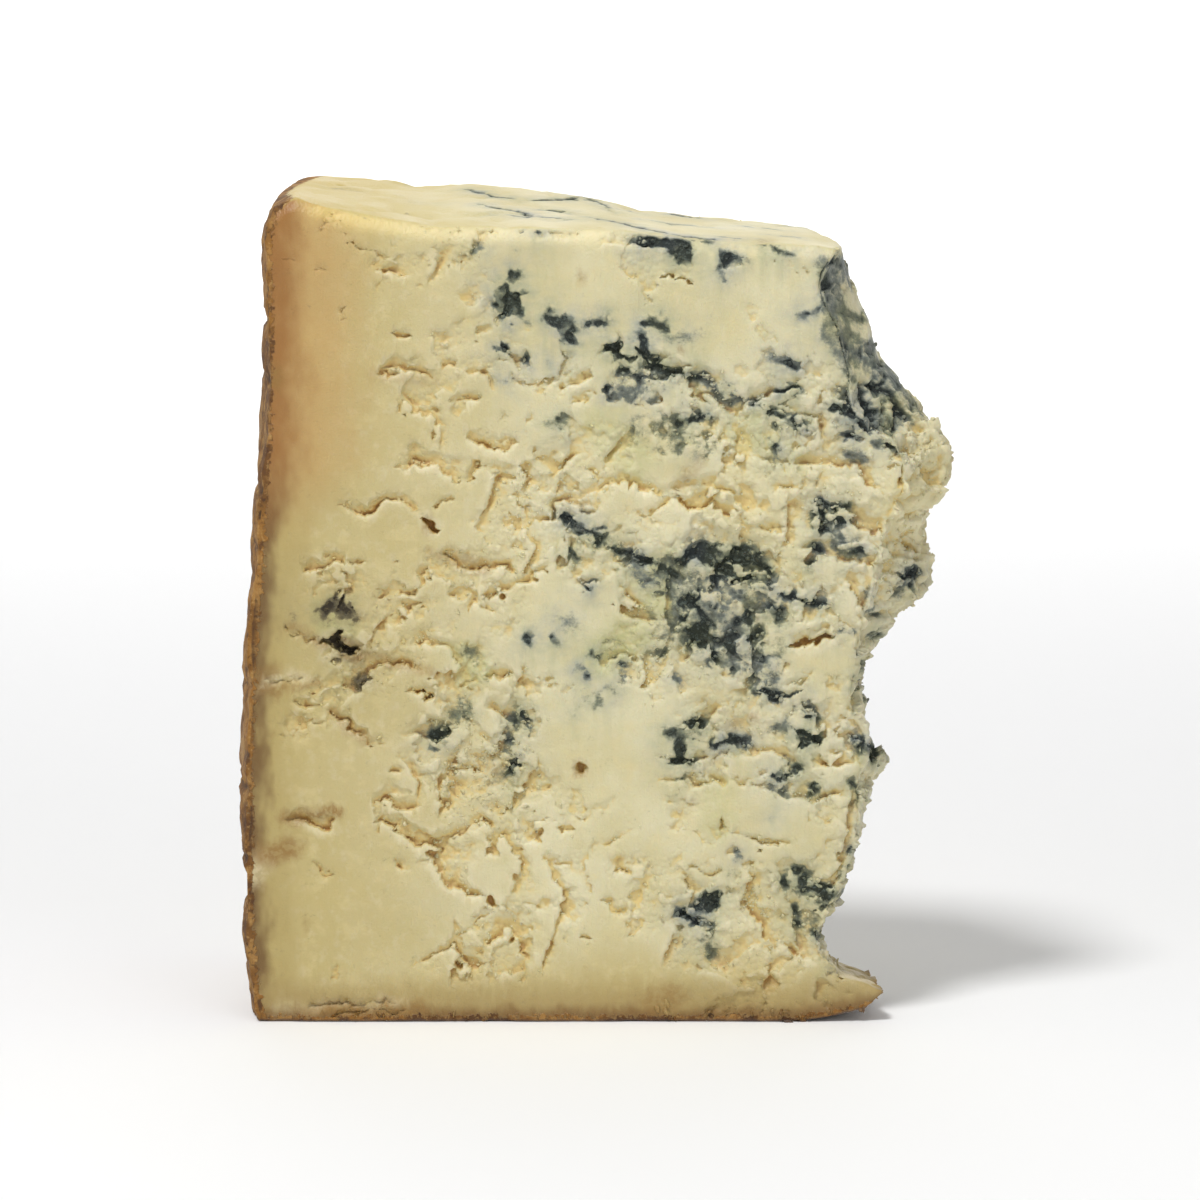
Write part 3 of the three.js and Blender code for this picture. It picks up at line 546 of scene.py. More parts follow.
# ---------------------------------------------------------------- the wedge's skin
def mesh_points(mesh):
    co = np.empty(len(mesh.vertices) * 3, np.float32)
    mesh.vertices.foreach_get("co", co)
    return co.reshape(-1, 3).astype(float)


def set_mesh_points(mesh, points):
    mesh.vertices.foreach_set("co", points.astype(np.float32).ravel())
    mesh.update()


def mesh_normals(mesh):
    normals = np.empty(len(mesh.vertices) * 3, np.float32)
    mesh.vertex_normals.foreach_get("vector", normals)
    return normals.reshape(-1, 3).astype(float)


class Neighbours:
    """Which points of a mesh an edge joins, for taking the mean of a value next to each point."""

    def __init__(self, mesh):
        edges = np.empty(len(mesh.edges) * 2, np.int32)
        mesh.edges.foreach_get("vertices", edges)
        edges = edges.reshape(-1, 2)
        self.point, self.other = np.concatenate([edges, edges[:, ::-1]]).T
        self.count = np.bincount(self.point, minlength=len(mesh.vertices))

    def mean(self, values):
        return np.bincount(self.point, values[self.other], len(self.count)) / self.count


def apply_modifier(piece, kind, **settings):
    """Adds a modifier and applies it."""
    modifier = piece.modifiers.new(kind.lower(), kind)
    for name, value in settings.items():
        setattr(modifier, name, value)
    depsgraph = bpy.context.evaluated_depsgraph_get()
    made = bpy.data.meshes.new_from_object(piece.evaluated_get(depsgraph))
    piece.modifiers.clear()
    old, piece.data = piece.data, made
    bpy.data.meshes.remove(old)


def fine_skin():
    """A closed, even, finely divided copy of the CAD wedge, its facets smoothed away."""
    body = bmesh.new()
    body.from_mesh(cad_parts["cheese_wedge"].data)
    bmesh.ops.remove_doubles(body, verts=body.verts, dist=1e-7)
    mesh = bpy.data.meshes.new("wedge")
    body.to_mesh(mesh)
    body.free()
    piece = bpy.data.objects.new("wedge", mesh)
    bpy.context.scene.collection.objects.link(piece)
    apply_modifier(piece, "REMESH", mode="VOXEL", voxel_size=VOXEL * MM, use_smooth_shade=True)

    mesh = piece.data
    around = Neighbours(mesh)
    points = mesh_points(mesh)
    for _ in range(SMOOTHING_ROUNDS):
        points = 0.5 * points + 0.5 * np.column_stack([around.mean(part) for part in points.T])
    points[:, 2] = np.maximum(points[:, 2], 0)
    set_mesh_points(mesh, points)
    return piece


def to_own_measure(points):
    """Frame metres to the wedge's own millimetres."""
    own = (points - np.array([LOW.x, LOW.y, LOW.z])) / MM - np.array([RIND_OVERHANG, 0, 0])
    return own.astype(np.float32)


def on_the_drawing(places):
    """Where the camera sees places on the drawing of the front cut, across and up."""
    sink = VIEW_HEIGHT - AIM_HEIGHT
    aim_far = math.hypot(VIEW_DISTANCE, sink)
    ahead, above = VIEW_DISTANCE / aim_far, sink / aim_far
    back = places[:, 1] + VIEW_DISTANCE
    up = places[:, 2] - VIEW_HEIGHT
    size = DRAWING_WIDTH / FRAME_WIDTH * aim_far / (back * ahead - up * above)
    across = DRAWING_MIDDLE[0] + (places[:, 0] - VIEW_ACROSS) * size
    return np.column_stack([across, DRAWING_MIDDLE[1] + (back * above + up * ahead) * size])


# ---------------------------------------------------------------- shapes of torn and grown surfaces
def domes(places, size, seed):
    """Rounded lumps: 0.5 on top of most of them, and down to -1 in the clefts between them."""
    way, number, _ = lumps(places, size, seed)
    return 0.55 - 2.2 * (way * way).sum(1) + 0.5 * (number - 0.5)


def plates(places, size, seed):
    """Plates of curd: each stands out at its upper edge and sinks down to the next one's."""
    way, number, _ = lumps(places, size, seed)
    heading = 1.3 * noise(places, 2.2 * size[0], seed + 4)
    return 1.3 * (way[:, 2] * np.cos(heading) + way[:, 0] * np.sin(heading)) + (number - 0.5)


def curd_levels(places, size, seed):
    """A jagged field, about -1.5 to 1.5; its contours run like the edges of torn curd."""
    bent = swirled(places, 0.16 * size, 0.6 * size, seed)
    total = np.zeros(len(places), np.float32)
    for octave, weight in enumerate((1, 0.55, 0.32, 0.2, 0.12)):
        total += weight * noise(bent, np.array([1.2, 1.2, 1]) * size / 2**octave, seed + 5 + octave)
    return 1.35 * total


def steps_of(level):
    """A level cut into flat steps with upright edges."""
    whole = np.floor(level)
    return whole + rise(level - whole, 0.93, 1)


def sinking(places, size, seed):
    """How far curd sinks, up to 1, towards the jagged upper edge of the plate below it."""
    level = 0.42 * curd_levels(places, 1.1 * size, seed) + 1.1 * noise(places, 2.6 * size, seed + 20)
    level = level - places[:, 2] / size
    share = level - np.floor(level)
    return share**2.6 * (1 - rise(share, 0.97, 1))


def crumby(places, seed):
    """Small bumps that stand out here and there."""
    bumps = np.maximum(0, noise(places, 1.5, seed) - 0.1) + 0.6 * np.maximum(0, noise(places, 0.75, seed + 1))
    return bumps + 0.15 * noise(places, 0.45, seed + 2) - 0.2


def broken_curd(places):
    """The broken end: coarser plates and lumps, standing out; smoother where mould covers it."""
    jagged = swirled(swirled(places, 1.4, 4.5, 91), 0.5, 1.3, 94)
    broad = plates(jagged, (5.4, 5.4, 4.4), 97)
    middle = domes(jagged, (3.4, 3.4, 2.8), 102)
    fine = crumby(swirled(places, 0.4, 0.9, 106), 109)
    rough = 0.7 * broad + 0.7 * middle + 0.4 * fine - 0.5 * sinking(places, 4, 116)
    smoother = rise(places[:, 2], 85, 91)
    return -0.1 + (1 - 0.65 * smoother) * rough


def wrinkled_crust(places):
    """A dry crust: wavy, with wrinkles and small holes."""
    wrinkles = (1 - np.abs(noise(swirled(places, 1.6, 5, 111), np.array([8, 8, 4.5]), 114))) ** 6
    creases = (1 - np.abs(noise(swirled(places, 0.9, 2.4, 112), np.array([3.4, 3.4, 2.2]), 115))) ** 5
    way, number, _ = lumps(swirled(places, 0.6, 1.2, 124), np.full(3, 2.6), 117)
    holes = rise(number, 0.7, 0.9) * rise((way * way).sum(1), 0.07, 0.02)
    waves = 0.4 * clouds(places, 9, 121, 2) + 0.14 * noise(places, 2.6, 123)
    fine = 0.09 * noise(places, 1.5, 128) + 0.05 * noise(places, 0.7, 127)
    return waves + fine - 0.3 * wrinkles - 0.14 * creases - 0.4 * holes


class Wedge:
    """The fine skin's places and facings, which face each belongs to, and what is drawn on it."""

    def __init__(self, piece):
        self.piece = piece
        self.places = to_own_measure(mesh_points(piece.data))
        self.drawing = on_the_drawing(self.places)
        self.normals = mesh_normals(piece.data)
        across, back, up = self.places.T
        facing_back = self.normals @ np.array([math.sin(BACK_HALF_ANGLE), math.cos(BACK_HALF_ANGLE), 0])
        self.front = rise(-self.normals[:, 1], 0.55, 0.88)
        self.behind = rise(facing_back, 0.55, 0.88)
        self.top = rise(self.normals[:, 2], 0.6, 0.9) * rise(up, 100, 106)
        self.base = rise(-self.normals[:, 2], 0.6, 0.9) * rise(up, 8, 4)
        self.side = rise(-self.normals[:, 0], 0.5, 0.85) * rise(across, 30, 20)
        self.broken = rise(self.normals[:, 0], 0.25, 0.65) * rise(across, 72, 78)
        shares = [self.front, self.behind, self.top, self.base, self.side, self.broken]
        self.edge = 1 - np.max(shares, axis=0)
        self.cut = np.maximum(self.front, self.behind)
        self.seam = rise(self.edge, 0.05, 0.4) * rise(across, 76, 80) * rise(up, 112, 106) * rise(up, 4, 9)
        wheel = WHEEL_RADIUS - BULGE_FALL * rise(up, BULGE_HEIGHT, SHOULDER_HEIGHT)
        wheel = wheel - BASE_WEAR * np.maximum(0, 1 - up / BASE_WEAR_HEIGHT) ** 2
        wheel = wheel - 0.4 * np.maximum(0, up - TOP_WEAR_START) ** 2 / TOP_WEAR_RADIUS
        self.rind_side = wheel - np.hypot(across - WHEEL_AXIS[0], back - WHEEL_AXIS[1])
        self.rind_base = up - np.interp(across, BASE_CURL_ACROSS, BASE_CURL_HEIGHT)
        self.away_from_rind = rise(np.minimum(self.rind_side, 3 * self.rind_base), 8, 26)
        self.vein = np.zeros(len(self.places), np.float32)
        self.halo = np.zeros(len(self.places), np.float32)
        self.dragged = np.zeros(len(self.places), np.float32)
        self.stains = {kind: np.zeros(len(self.places), np.float32) for kind in ("brown", "bloom", "olive", "clean")}

    def draw_veins(self, veins, flat, share, reach=5.0):
        """Marks the veins, drawn on flat places, on the part of the skin given by share."""
        part = np.flatnonzero(share > 0.01)
        flat = flat[part]
        for path, half_width, strength in veins:
            near = NearPath(flat, path, reach)
            thin = 0.65 + 0.35 * np.sin(math.pi * near.share)
            outside = near.distance - VEIN_SWELL * half_width * thin
            solid = strength * np.clip(0.5 - outside / VEIN_SOFTNESS, 0, 1)
            glow = strength * np.exp(-np.maximum(outside, 0) / HALO_REACH)
            which = part[near.which]
            self.vein[which] = np.maximum(self.vein[which], solid * share[which])
            self.halo[which] = np.maximum(self.halo[which], glow * share[which])

    def drag_down(self, veins, flat, share):
        """Marks the green smears that the knife dragged down from the veins."""
        for path, half_width, strength in veins:
            (left, low), (right, high) = np.min(path, axis=0), np.max(path, axis=0)
            reach = half_width + 0.8
            inside = (flat[:, 0] > left - reach) & (flat[:, 0] < right + reach)
            inside &= (flat[:, 1] < high) & (flat[:, 1] > low - 3 * DRAG_REACH)
            which = np.flatnonzero(inside & (share > 0.01))
            beside = np.maximum(left - flat[which, 0], flat[which, 0] - right)
            below = np.maximum(0, low - flat[which, 1])
            smear = strength * rise(beside, reach, 0) * np.exp(-below / DRAG_REACH) * share[which]
            self.dragged[which] = np.maximum(self.dragged[which], smear)

    def mark_mould(self):
        _, back, _ = self.places.T
        moved = swirled(swirled(self.places, 0.55, 1.7, 21), 0.25, 0.5, 27)
        near_front = rise(back, 11 + 7 * self.broken, 3 + 7 * self.broken) * (1 - self.top)
        self.draw_veins(FRONT_MOULD, on_the_drawing(moved), near_front)
        self.drag_down(FRONT_MOULD, on_the_drawing(moved), self.front)
        self.draw_veins(TOP_MOULD, moved[:, :2], self.top)
        back_veins = chance_veins(BACK_VEINS, BACK_VEIN_SEED, (26, 98), (6, 113), 0.45)
        self.draw_veins(back_veins, moved[:, [0, 2]], self.behind)
        break_veins = chance_veins(BREAK_VEINS, BREAK_VEIN_SEED, (6, 30), (20, 112), 0.7)
        self.draw_veins(break_veins, moved[:, [1, 2]], self.broken * (1 - near_front))

    def mark_stains(self):
        flat = on_the_drawing(swirled(swirled(self.places, 0.9, 2.6, 33), 0.3, 0.7, 36))
        near_front = rise(self.places[:, 1], 9 + 9 * self.broken, 3 + 9 * self.broken)
        for kind, path, half_width, strength in FRONT_STAINS:
            near = NearPath(flat, path, 2.5 * half_width + 0.5)
            stain = strength * rise(near.distance, 1.7 * half_width + 0.3, 0.4 * half_width) * near_front[near.which]
            self.stains[kind][near.which] = np.maximum(self.stains[kind][near.which], stain)
        clean = self.stains.pop("clean")
        self.vein *= 1 - clean
        self.halo *= 1 - 0.8 * clean

    def mark_ground(self):
        """How torn and how crumbly each place is, from 0 to 1."""
        weights = np.full(len(self.places), 0.12, np.float32)
        torn = weights * GROUND_ELSEWHERE
        crumbly = weights * 0.2
        for across, up, wide, tall, how_torn, how_crumbly in FRONT_GROUND:
            far = np.hypot((self.drawing[:, 0] - across) / wide, (self.drawing[:, 1] - up) / tall)
            weight = np.exp(-1.6 * far**2)
            weights += weight
            torn += weight * how_torn
            crumbly += weight * how_crumbly
        torn = torn / weights + 0.2 * noise(self.places, 6, 29)
        torn = np.maximum(0.2, torn) * np.maximum(self.front, self.seam) * rise(self.rind_side, 1, 9)
        crumbly = crumbly / weights * self.front
        chance = rise(clouds(self.places, 16, 31, 2), -0.12, 0.3) * self.away_from_rind * self.behind
        torn = np.maximum(torn, 0.95 * chance)
        crumbly = np.maximum(crumbly, chance * rise(clouds(self.places, 9, 36, 2), -0.1, 0.3))
        self.torn = np.maximum(torn, np.maximum(0.9 * self.broken, 0.7 * self.seam))
        self.crumbly = np.maximum(crumbly, 0.7 * np.maximum(self.broken, self.seam))
        self.torn = np.clip(self.torn + 0.25 * self.halo * rise(self.torn, 0.3, 0.7), 0, 1)

    def hollows_and_cracks(self):
        """How deep the front cut's hollows and its cracks are."""
        hollows = np.zeros(len(self.places), np.float32)
        cracks = np.zeros(len(self.places), np.float32)
        part = np.flatnonzero(self.front * rise(self.places[:, 1], 9, 5) > 0.01)
        here = self.places[part]
        moved = swirled(swirled(swirled(here, 0.5, 2, 41), 0.5, 0.9, 44), 0.2, 0.4, 47)
        flat = on_the_drawing(moved)
        uneven = 1 + 0.5 * noise(here, 2.6, 38)
        for path, depth, width in FRONT_HOLLOWS:
            near = NearPath(flat, path, 3.5 * width)
            above = 0.55 * np.exp(-near.left / (0.4 * width)) + 0.45 * np.exp(-((near.left / (1.5 * width)) ** 2))
            below = np.exp(-((near.left / LIP_WIDTH) ** 2))
            ends = rise(near.share, 0, 0.2) * rise(near.share, 1, 0.8)
            which = part[near.which]
            depth_here = depth * ends * uneven[near.which] * np.where(near.left > 0, above, below)
            hollows[which] = np.maximum(hollows[which], depth_here)
        for path, half_width, depth in FRONT_CRACKS:
            near = NearPath(flat, path, 4 * half_width)
            depth_here = depth * rise(near.distance, 1.5 * half_width, 0.5 * half_width)
            which = part[near.which]
            cracks[which] = np.maximum(cracks[which], depth_here)
        return hollows * self.front, cracks * self.front

    def over_part(self, share, shape):
        """A shape times the share, worked out only where the share counts."""
        part = np.flatnonzero(share > 0.02)
        result = np.zeros(len(self.places), np.float32)
        result[part] = share[part] * shape(self.places[part])
        return result

    def tear(self):
        """How deep the cut faces are torn: the knife took all that stood proud of the cut."""
        hollows, cracks = self.hollows_and_cracks()
        cut = np.maximum(self.cut, self.seam)
        level = self.over_part(cut, lambda at: curd_levels(at, 7.5, 51))
        plate = self.over_part(cut, lambda at: sinking(at, PLATE, 61))
        aside = self.over_part(cut, lambda at: sinking(at[:, [2, 1, 0]], PLATE, 161))
        small = self.over_part(cut, lambda at: sinking(at, 0.4 * PLATE, 91))
        patchy = rise(noise(self.places, 5, 59), -0.4, 0.4)
        loose = rise(self.torn, 0.1, 0.45)
        sink = np.maximum(patchy * plate, (0.9 - patchy) * aside) * (SINK * loose + MORE_SINK * self.torn)
        ragged = swirled(swirled(self.places, 0.7, 1.5, 171), 0.3, 0.6, 174)
        lumpy = self.halo * np.clip(0.25 - domes(ragged, 2.6, 85), 0, 0.9)
        sink += loose * (0.18 * small + 0.9 * lumpy)
        proud = STANDS_PROUD - TEAR * self.torn + STEP_HEIGHT * steps_of(level) - sink
        hollow = np.clip(hollows / 0.25, 0, 1)
        proud += hollow * (0.18 * level - 0.3 * small - 1.05 * hollows - proud)
        below = np.maximum(0, -proud) * cut
        below *= rise(np.minimum(self.rind_side, 4 * self.rind_base), 1.2, 3.2)
        self.torn = rise(below, 0.02, 0.2)
        crumbs = self.over_part(self.torn * self.crumbly, lambda at: crumby(swirled(at, 0.4, 0.8, 68), 71))
        pits = self.cut * rise(self.vein, 0.45, 0.85) * (0.16 - 0.2 * noise(ragged, 0.8, 85))
        depth = below + cracks - 0.32 * crumbs + pits
        return DEEPEST * np.tanh(depth / DEEPEST)

    def relief(self):
        """How far each place stands out of the smooth skin, outwards positive."""
        height = -self.tear()
        streaks = 0.03 * noise(self.places, np.array([0.5, 0.5, 9]), 81)
        height += self.cut * (1 - self.torn) * (streaks + 0.12 * clouds(self.places, 5, 83, 2))
        side = np.maximum(self.side, 0.6 * self.edge * rise(self.rind_side, 3, 1))
        height += self.over_part(self.broken, broken_curd)
        height += self.over_part(side, wrinkled_crust) + 0.5 * self.side * rise(self.places[:, 2], 84, 68)
        height -= self.over_part(self.base, lambda at: np.abs(0.25 * clouds(at, 3, 137)))
        top = self.top * (1 - rise(self.rind_side, 6, 2))
        height += self.over_part(top, lambda at: 0.1 * clouds(at, 3, 131) + 0.3 * np.minimum(0, domes(at, 5, 134)))
        height -= self.top * 0.25 * rise(self.vein, 0.4, 0.8)
        edge = rise(self.edge, 0.1, 0.8) * (1 - self.base) * rise(self.places[:, 2], 114, 108)
        height -= self.over_part(edge, lambda at: 0.8 * np.maximum(0, clouds(at, 1.6, 141)))
        height -= self.over_part(self.seam, lambda at: np.clip(0.2 + 0.5 * curd_levels(at, 2.4, 145), 0, 0.7))
        height -= self.rind_notches()
        return height

    def rind_notches(self):
        """Gaps bitten out of the rind beside the front cut."""
        _, back, up = self.places.T
        notches = np.zeros(len(self.places), np.float32)
        for height, half_height, depth in RIND_NOTCHES:
            ragged = up + 0.5 * noise(self.places, 1.1, 151)
            notches += depth * np.exp(-(((ragged - height) / half_height) ** 2))
        near = rise(back, 28, 15) * np.maximum(self.side, self.edge * rise(self.rind_side, 4, 1.5))
        return notches * near

    def carve(self):
        self.mark_mould()
        self.mark_stains()
        self.mark_ground()
        height = self.relief()
        around = Neighbours(self.piece.data)
        # The cleft measure: how far a place lies below what is round it, more where it lies deep in a cut, less on
        # edges and the broken end. The shaders paint shade where it is high and a highlight where it is below 0.
        self.cleft = np.zeros(len(height))
        broad = height
        for turn in range(CLEFT_ROUNDS[1]):
            broad = around.mean(broad)
            if turn + 1 in CLEFT_ROUNDS:
                self.cleft += 0.6 * (broad - height)
        self.cleft += 0.22 * np.maximum(0, -height - 0.3) * self.cut
        self.cleft *= (1 - 0.9 * self.edge) * (1 - 0.4 * self.broken)
        points = mesh_points(self.piece.data) + self.normals * height[:, None] * MM
        points[:, 1] = np.maximum(points[:, 1], LOW.y)
        points[:, 2] = np.maximum(points[:, 2], 0)
        set_mesh_points(self.piece.data, points)

    def store(self):
        """Keeps what is drawn on the skin as attributes of its mesh."""
        top_edge = np.interp(self.places[:, 0], TOP_EDGE_ACROSS, TOP_EDGE_HEIGHT)
        at_front = rise(self.places[:, 1], 12, 6)
        drawn = {
            "vein": self.vein, "halo": self.halo, "dragged": self.dragged, "torn": self.torn,
            "crumbly": self.crumbly, "cleft": self.cleft, "cut": self.cut, "broken": self.broken,
            "topside": self.top, "outer": np.maximum(self.side * rise(self.places[:, 1], 5, 20), self.base),
            "rind_side": self.rind_side, "rind_base": self.rind_base, **self.stains,
            # the front cut's top edge, where a painted highlight goes
            "painted_rim_highlight": rise(self.places[:, 2] - top_edge, -3.2, -0.4) * np.maximum(self.front, self.edge) * at_front,
        }
        gathered = rise(noise(self.places, 7, 161), -0.3, 0.5)
        ragged = np.clip(np.abs(self.cleft) / 0.3, 0.15, 1) * (self.cut * self.torn + 0.3 * self.broken)
        drawn["crumbs"] = ragged * (0.1 + 0.9 * self.crumbly * gathered) * (1 - self.halo)
        drawn["mould_crumbs"] = ragged * self.halo**2
        near_base = rise(np.abs(self.rind_base - 0.9), 0.8, 0.3) * rise(self.rind_side, 2, 5)
        drawn["flakes"] = near_base * rise(noise(self.places, 5, 164), -0.2, 0.4)
        for name, values in drawn.items():
            attribute = self.piece.data.attributes.new(name, "FLOAT", "POINT")
            attribute.data.foreach_set("value", values.astype(np.float32))


def thin_out(piece):
    """Fewer triangles, most of them kept on the front cut and at the veins."""
    mesh = piece.data
    values = {}
    for name in ("cleft", "halo"):
        values[name] = np.empty(len(mesh.vertices), np.float32)
        mesh.attributes[name].data.foreach_get("value", values[name])
    keep = np.clip(np.abs(values["cleft"]) + 0.65 * values["halo"], 0, 1)
    front = mesh_normals(mesh)[:, 1] < -0.3
    keep = np.where(front, 0.4 + 0.6 * keep, 0.2 + 0.5 * keep)
    group = piece.vertex_groups.new(name="keep")
    steps = 8
    for step in range(steps + 1):
        chosen = np.flatnonzero(np.round(keep * steps) == step)
        group.add(chosen.tolist(), step / steps, "REPLACE")
    ratio = WEDGE_TRIANGLES / (2 * len(mesh.polygons))
    apply_modifier(piece, "DECIMATE", ratio=ratio, vertex_group="keep", invert_vertex_group=True,
                   vertex_group_factor=KEEP_STRENGTH, use_collapse_triangulate=True)
    piece.vertex_groups.clear()


def make_wedge():
    piece = fine_skin()
    wedge = Wedge(piece)
    wedge.carve()
    wedge.store()
    thin_out(piece)
    piece.data.shade_smooth()
    return piece


# ---------------------------------------------------------------- crumbs and flakes
# Name, shape, where it gathers, how many a square millimetre at most, smallest and largest radii,
# seed, finish.
LOOSE = [
    ("curd_crumbs", "lump", "crumbs", 0.6, (0.16, 0.12, 0.1), (0.46, 0.34, 0.24), 3, "cheese_paste"),
    ("curd_grit", "grit", "crumbs", 3.0, (0.1, 0.1, 0.1), (0.22, 0.2, 0.18), 4, "cheese_paste"),
    ("mould_crumbs", "lump", "mould_crumbs", 0.6, (0.16, 0.14, 0.14), (0.45, 0.4, 0.36), 5, "blue_mould"),
    ("crust_flakes", "lump", "flakes", 0.8, (0.3, 0.2, 0.06), (0.8, 0.6, 0.2), 6, "cheese_rind"),
]


def loose_shape(name, rounds, seed):
    """An uneven lump of radius 1, of 20 facets or, with 2 rounds, of 80."""
    body = bmesh.new()
    bmesh.ops.create_icosphere(body, subdivisions=rounds, radius=1)
    mesh = bpy.data.meshes.new(name)
    body.to_mesh(mesh)
    body.free()
    points = mesh_points(mesh)
    set_mesh_points(mesh, points * (1 + 0.65 * noise(points.astype(np.float32), 0.7, seed))[:, None])
    mesh.shade_smooth()
    return bpy.data.objects.new(name, mesh)


def scatter_tree():
    """Lumps on a mesh, as dense as one of its attributes says, sized and turned by chance."""
    tree = bpy.data.node_groups.new("scatter", "GeometryNodeTree")
    sockets = {
        "Ground": "Geometry", "Lump": "Object", "Where": "String", "Density": "Float",
        "Smallest": "Vector", "Largest": "Vector", "Seed": "Int", "Finish": "Material",
    }
    for label, kind in sockets.items():
        tree.interface.new_socket(label, in_out="INPUT", socket_type=f"NodeSocket{kind}")
    tree.interface.new_socket("Lumps", in_out="OUTPUT", socket_type="NodeSocketGeometry")
    given = tree.nodes.new("NodeGroupInput").outputs
    leave = tree.nodes.new("NodeGroupOutput")

    where = add_node(tree, "GeometryNodeInputNamedAttribute", {"Name": given["Where"]})
    density = number(tree, "MULTIPLY", where.outputs["Attribute"], given["Density"])
    inputs = {"Mesh": given["Ground"], "Density": density, "Seed": given["Seed"]}
    spots = add_node(tree, "GeometryNodeDistributePointsOnFaces", inputs).outputs["Points"]
    inputs = {"Geometry": spots, "Name": "cleft", "Value": LOOSE_CLEFT}
    spots = add_node(tree, "GeometryNodeStoreNamedAttribute", inputs).outputs["Geometry"]
    lump = add_node(tree, "GeometryNodeObjectInfo", {"Object": given["Lump"]}).outputs["Geometry"]
    size_range = {"Min": given["Smallest"], "Max": given["Largest"], "Seed": 1}
    size = add_node(tree, "FunctionNodeRandomValue", size_range, data_type="FLOAT_VECTOR").outputs["Value"]
    turn_range = {"Min": (0, 0, 0), "Max": (6.28, 6.28, 6.28), "Seed": 2}
    turn = add_node(tree, "FunctionNodeRandomValue", turn_range, data_type="FLOAT_VECTOR").outputs["Value"]
    inputs = {"Points": spots, "Instance": lump, "Rotation": turn, "Scale": size}
    lumps_there = add_node(tree, "GeometryNodeInstanceOnPoints", inputs).outputs["Instances"]
    real = add_node(tree, "GeometryNodeRealizeInstances", {"Geometry": lumps_there}).outputs["Geometry"]
    finished = add_node(tree, "GeometryNodeSetMaterial", {"Geometry": real, "Material": given["Finish"]})
    tree.links.new(finished.outputs["Geometry"], leave.inputs["Lumps"])
    return tree


def scatter(name, tree, ground, finish, lump, where, per_square_mm, smallest, largest, seed):
    """A mesh of loose lumps on the ground; their sizes are radii in millimetres."""
    piece = bpy.data.objects.new(name, ground.data.copy())
    bpy.context.scene.collection.objects.link(piece)
    modifier = piece.modifiers.new("scatter", "NODES")
    modifier.node_group = tree
    values = {
        "Lump": lump, "Where": where, "Density": per_square_mm / MM**2,
        "Smallest": [radius * MM for radius in smallest], "Largest": [radius * MM for radius in largest],
        "Seed": seed, "Finish": finish,
    }
    for item in tree.interface.items_tree:
        if item.in_out == "INPUT" and item.name in values:
            modifier[item.identifier] = values[item.name]
    depsgraph = bpy.context.evaluated_depsgraph_get()
    made = bpy.data.meshes.new_from_object(piece.evaluated_get(depsgraph))
    piece.modifiers.clear()
    old, piece.data = piece.data, made
    bpy.data.meshes.remove(old)
    points = mesh_points(made)
    points[:, 2] = np.maximum(points[:, 2], 0)
    set_mesh_points(made, points)
    return piece


# ---------------------------------------------------------------- node helpers
def add_node(tree, kind, inputs=None, **settings):
    """A new node with its settings, and its inputs joined to sockets or given values."""
    node = tree.nodes.new(kind)
    for name, value in settings.items():
        setattr(node, name, value)
    for name, value in (inputs or {}).items():
        if isinstance(value, bpy.types.NodeSocket):
            tree.links.new(value, node.inputs[name])
        else:
            node.inputs[name].default_value = value
    return node


def number(tree, operation, first, second=0.0, third=0.0):
    """A sum, product or other operation on numbers."""
    return add_node(tree, "ShaderNodeMath", {0: first, 1: second, 2: third}, operation=operation).outputs[0]


def remap(tree, value, low, high, to_low=0.0, to_high=1.0):
    """A smooth step of a value from one range to another."""
    inputs = {"Value": value, "From Min": low, "From Max": high, "To Min": to_low, "To Max": to_high}
    return add_node(tree, "ShaderNodeMapRange", inputs, interpolation_type="SMOOTHSTEP").outputs["Result"]


def blend(tree, share, first, second, mode="MIX"):
    """A mix of two colours."""
    node = add_node(tree, "ShaderNodeMix", data_type="RGBA", blend_type=mode)
    for socket, value in zip((node.inputs[0], node.inputs[6], node.inputs[7]), (share, first, second)):
        if isinstance(value, bpy.types.NodeSocket):
            tree.links.new(value, socket)
        else:
            socket.default_value = value
    return node.outputs[2]


def grain(tree, size, detail=3.0, roughness=0.55, stretch=(1, 1, 1), seed=0.0):
    """Noise on the object's own coordinates; size is in millimetres, stretched along each axis."""
    place = add_node(tree, "ShaderNodeTexCoord").outputs["Object"]
    scale = [1 / (size * MM * part) for part in stretch]
    inputs = {"Vector": place, "Scale": scale, "Location": (seed, seed, seed)}
    place = add_node(tree, "ShaderNodeMapping", inputs).outputs["Vector"]
    inputs = {"Vector": place, "Scale": 1.0, "Detail": detail, "Roughness": roughness}
    return add_node(tree, "ShaderNodeTexNoise", inputs).outputs["Fac"]


def drawn(tree, name):
    """A value that was drawn on the skin."""
    return add_node(tree, "ShaderNodeAttribute", attribute_name=name).outputs["Fac"]


def shade(red, green, blue):
    """A colour given as it looks on a screen, 0 to 255, as the linear colour a node takes."""
    parts = [part / 255 for part in (red, green, blue)]
    linear = [p / 12.92 if p <= 0.04045 else ((p + 0.055) / 1.055) ** 2.4 for p in parts]
    return (*linear, 1.0)


def new_group(name, inputs, outputs):
    """An empty shader group with named inputs and outputs."""
    tree = bpy.data.node_groups.new(name, "ShaderNodeTree")
    for label, (kind, value) in inputs.items():
        socket = tree.interface.new_socket(label, in_out="INPUT", socket_type=f"NodeSocket{kind}")
        socket.default_value = value
    for label, kind in outputs.items():
        tree.interface.new_socket(label, in_out="OUTPUT", socket_type=f"NodeSocket{kind}")
    entry = tree.nodes.new("NodeGroupInput")
    leave = tree.nodes.new("NodeGroupOutput")
    return tree, entry.outputs, leave.inputs


def use_group(tree, group, inputs):
    return add_node(tree, "ShaderNodeGroup", inputs, node_tree=group).outputs


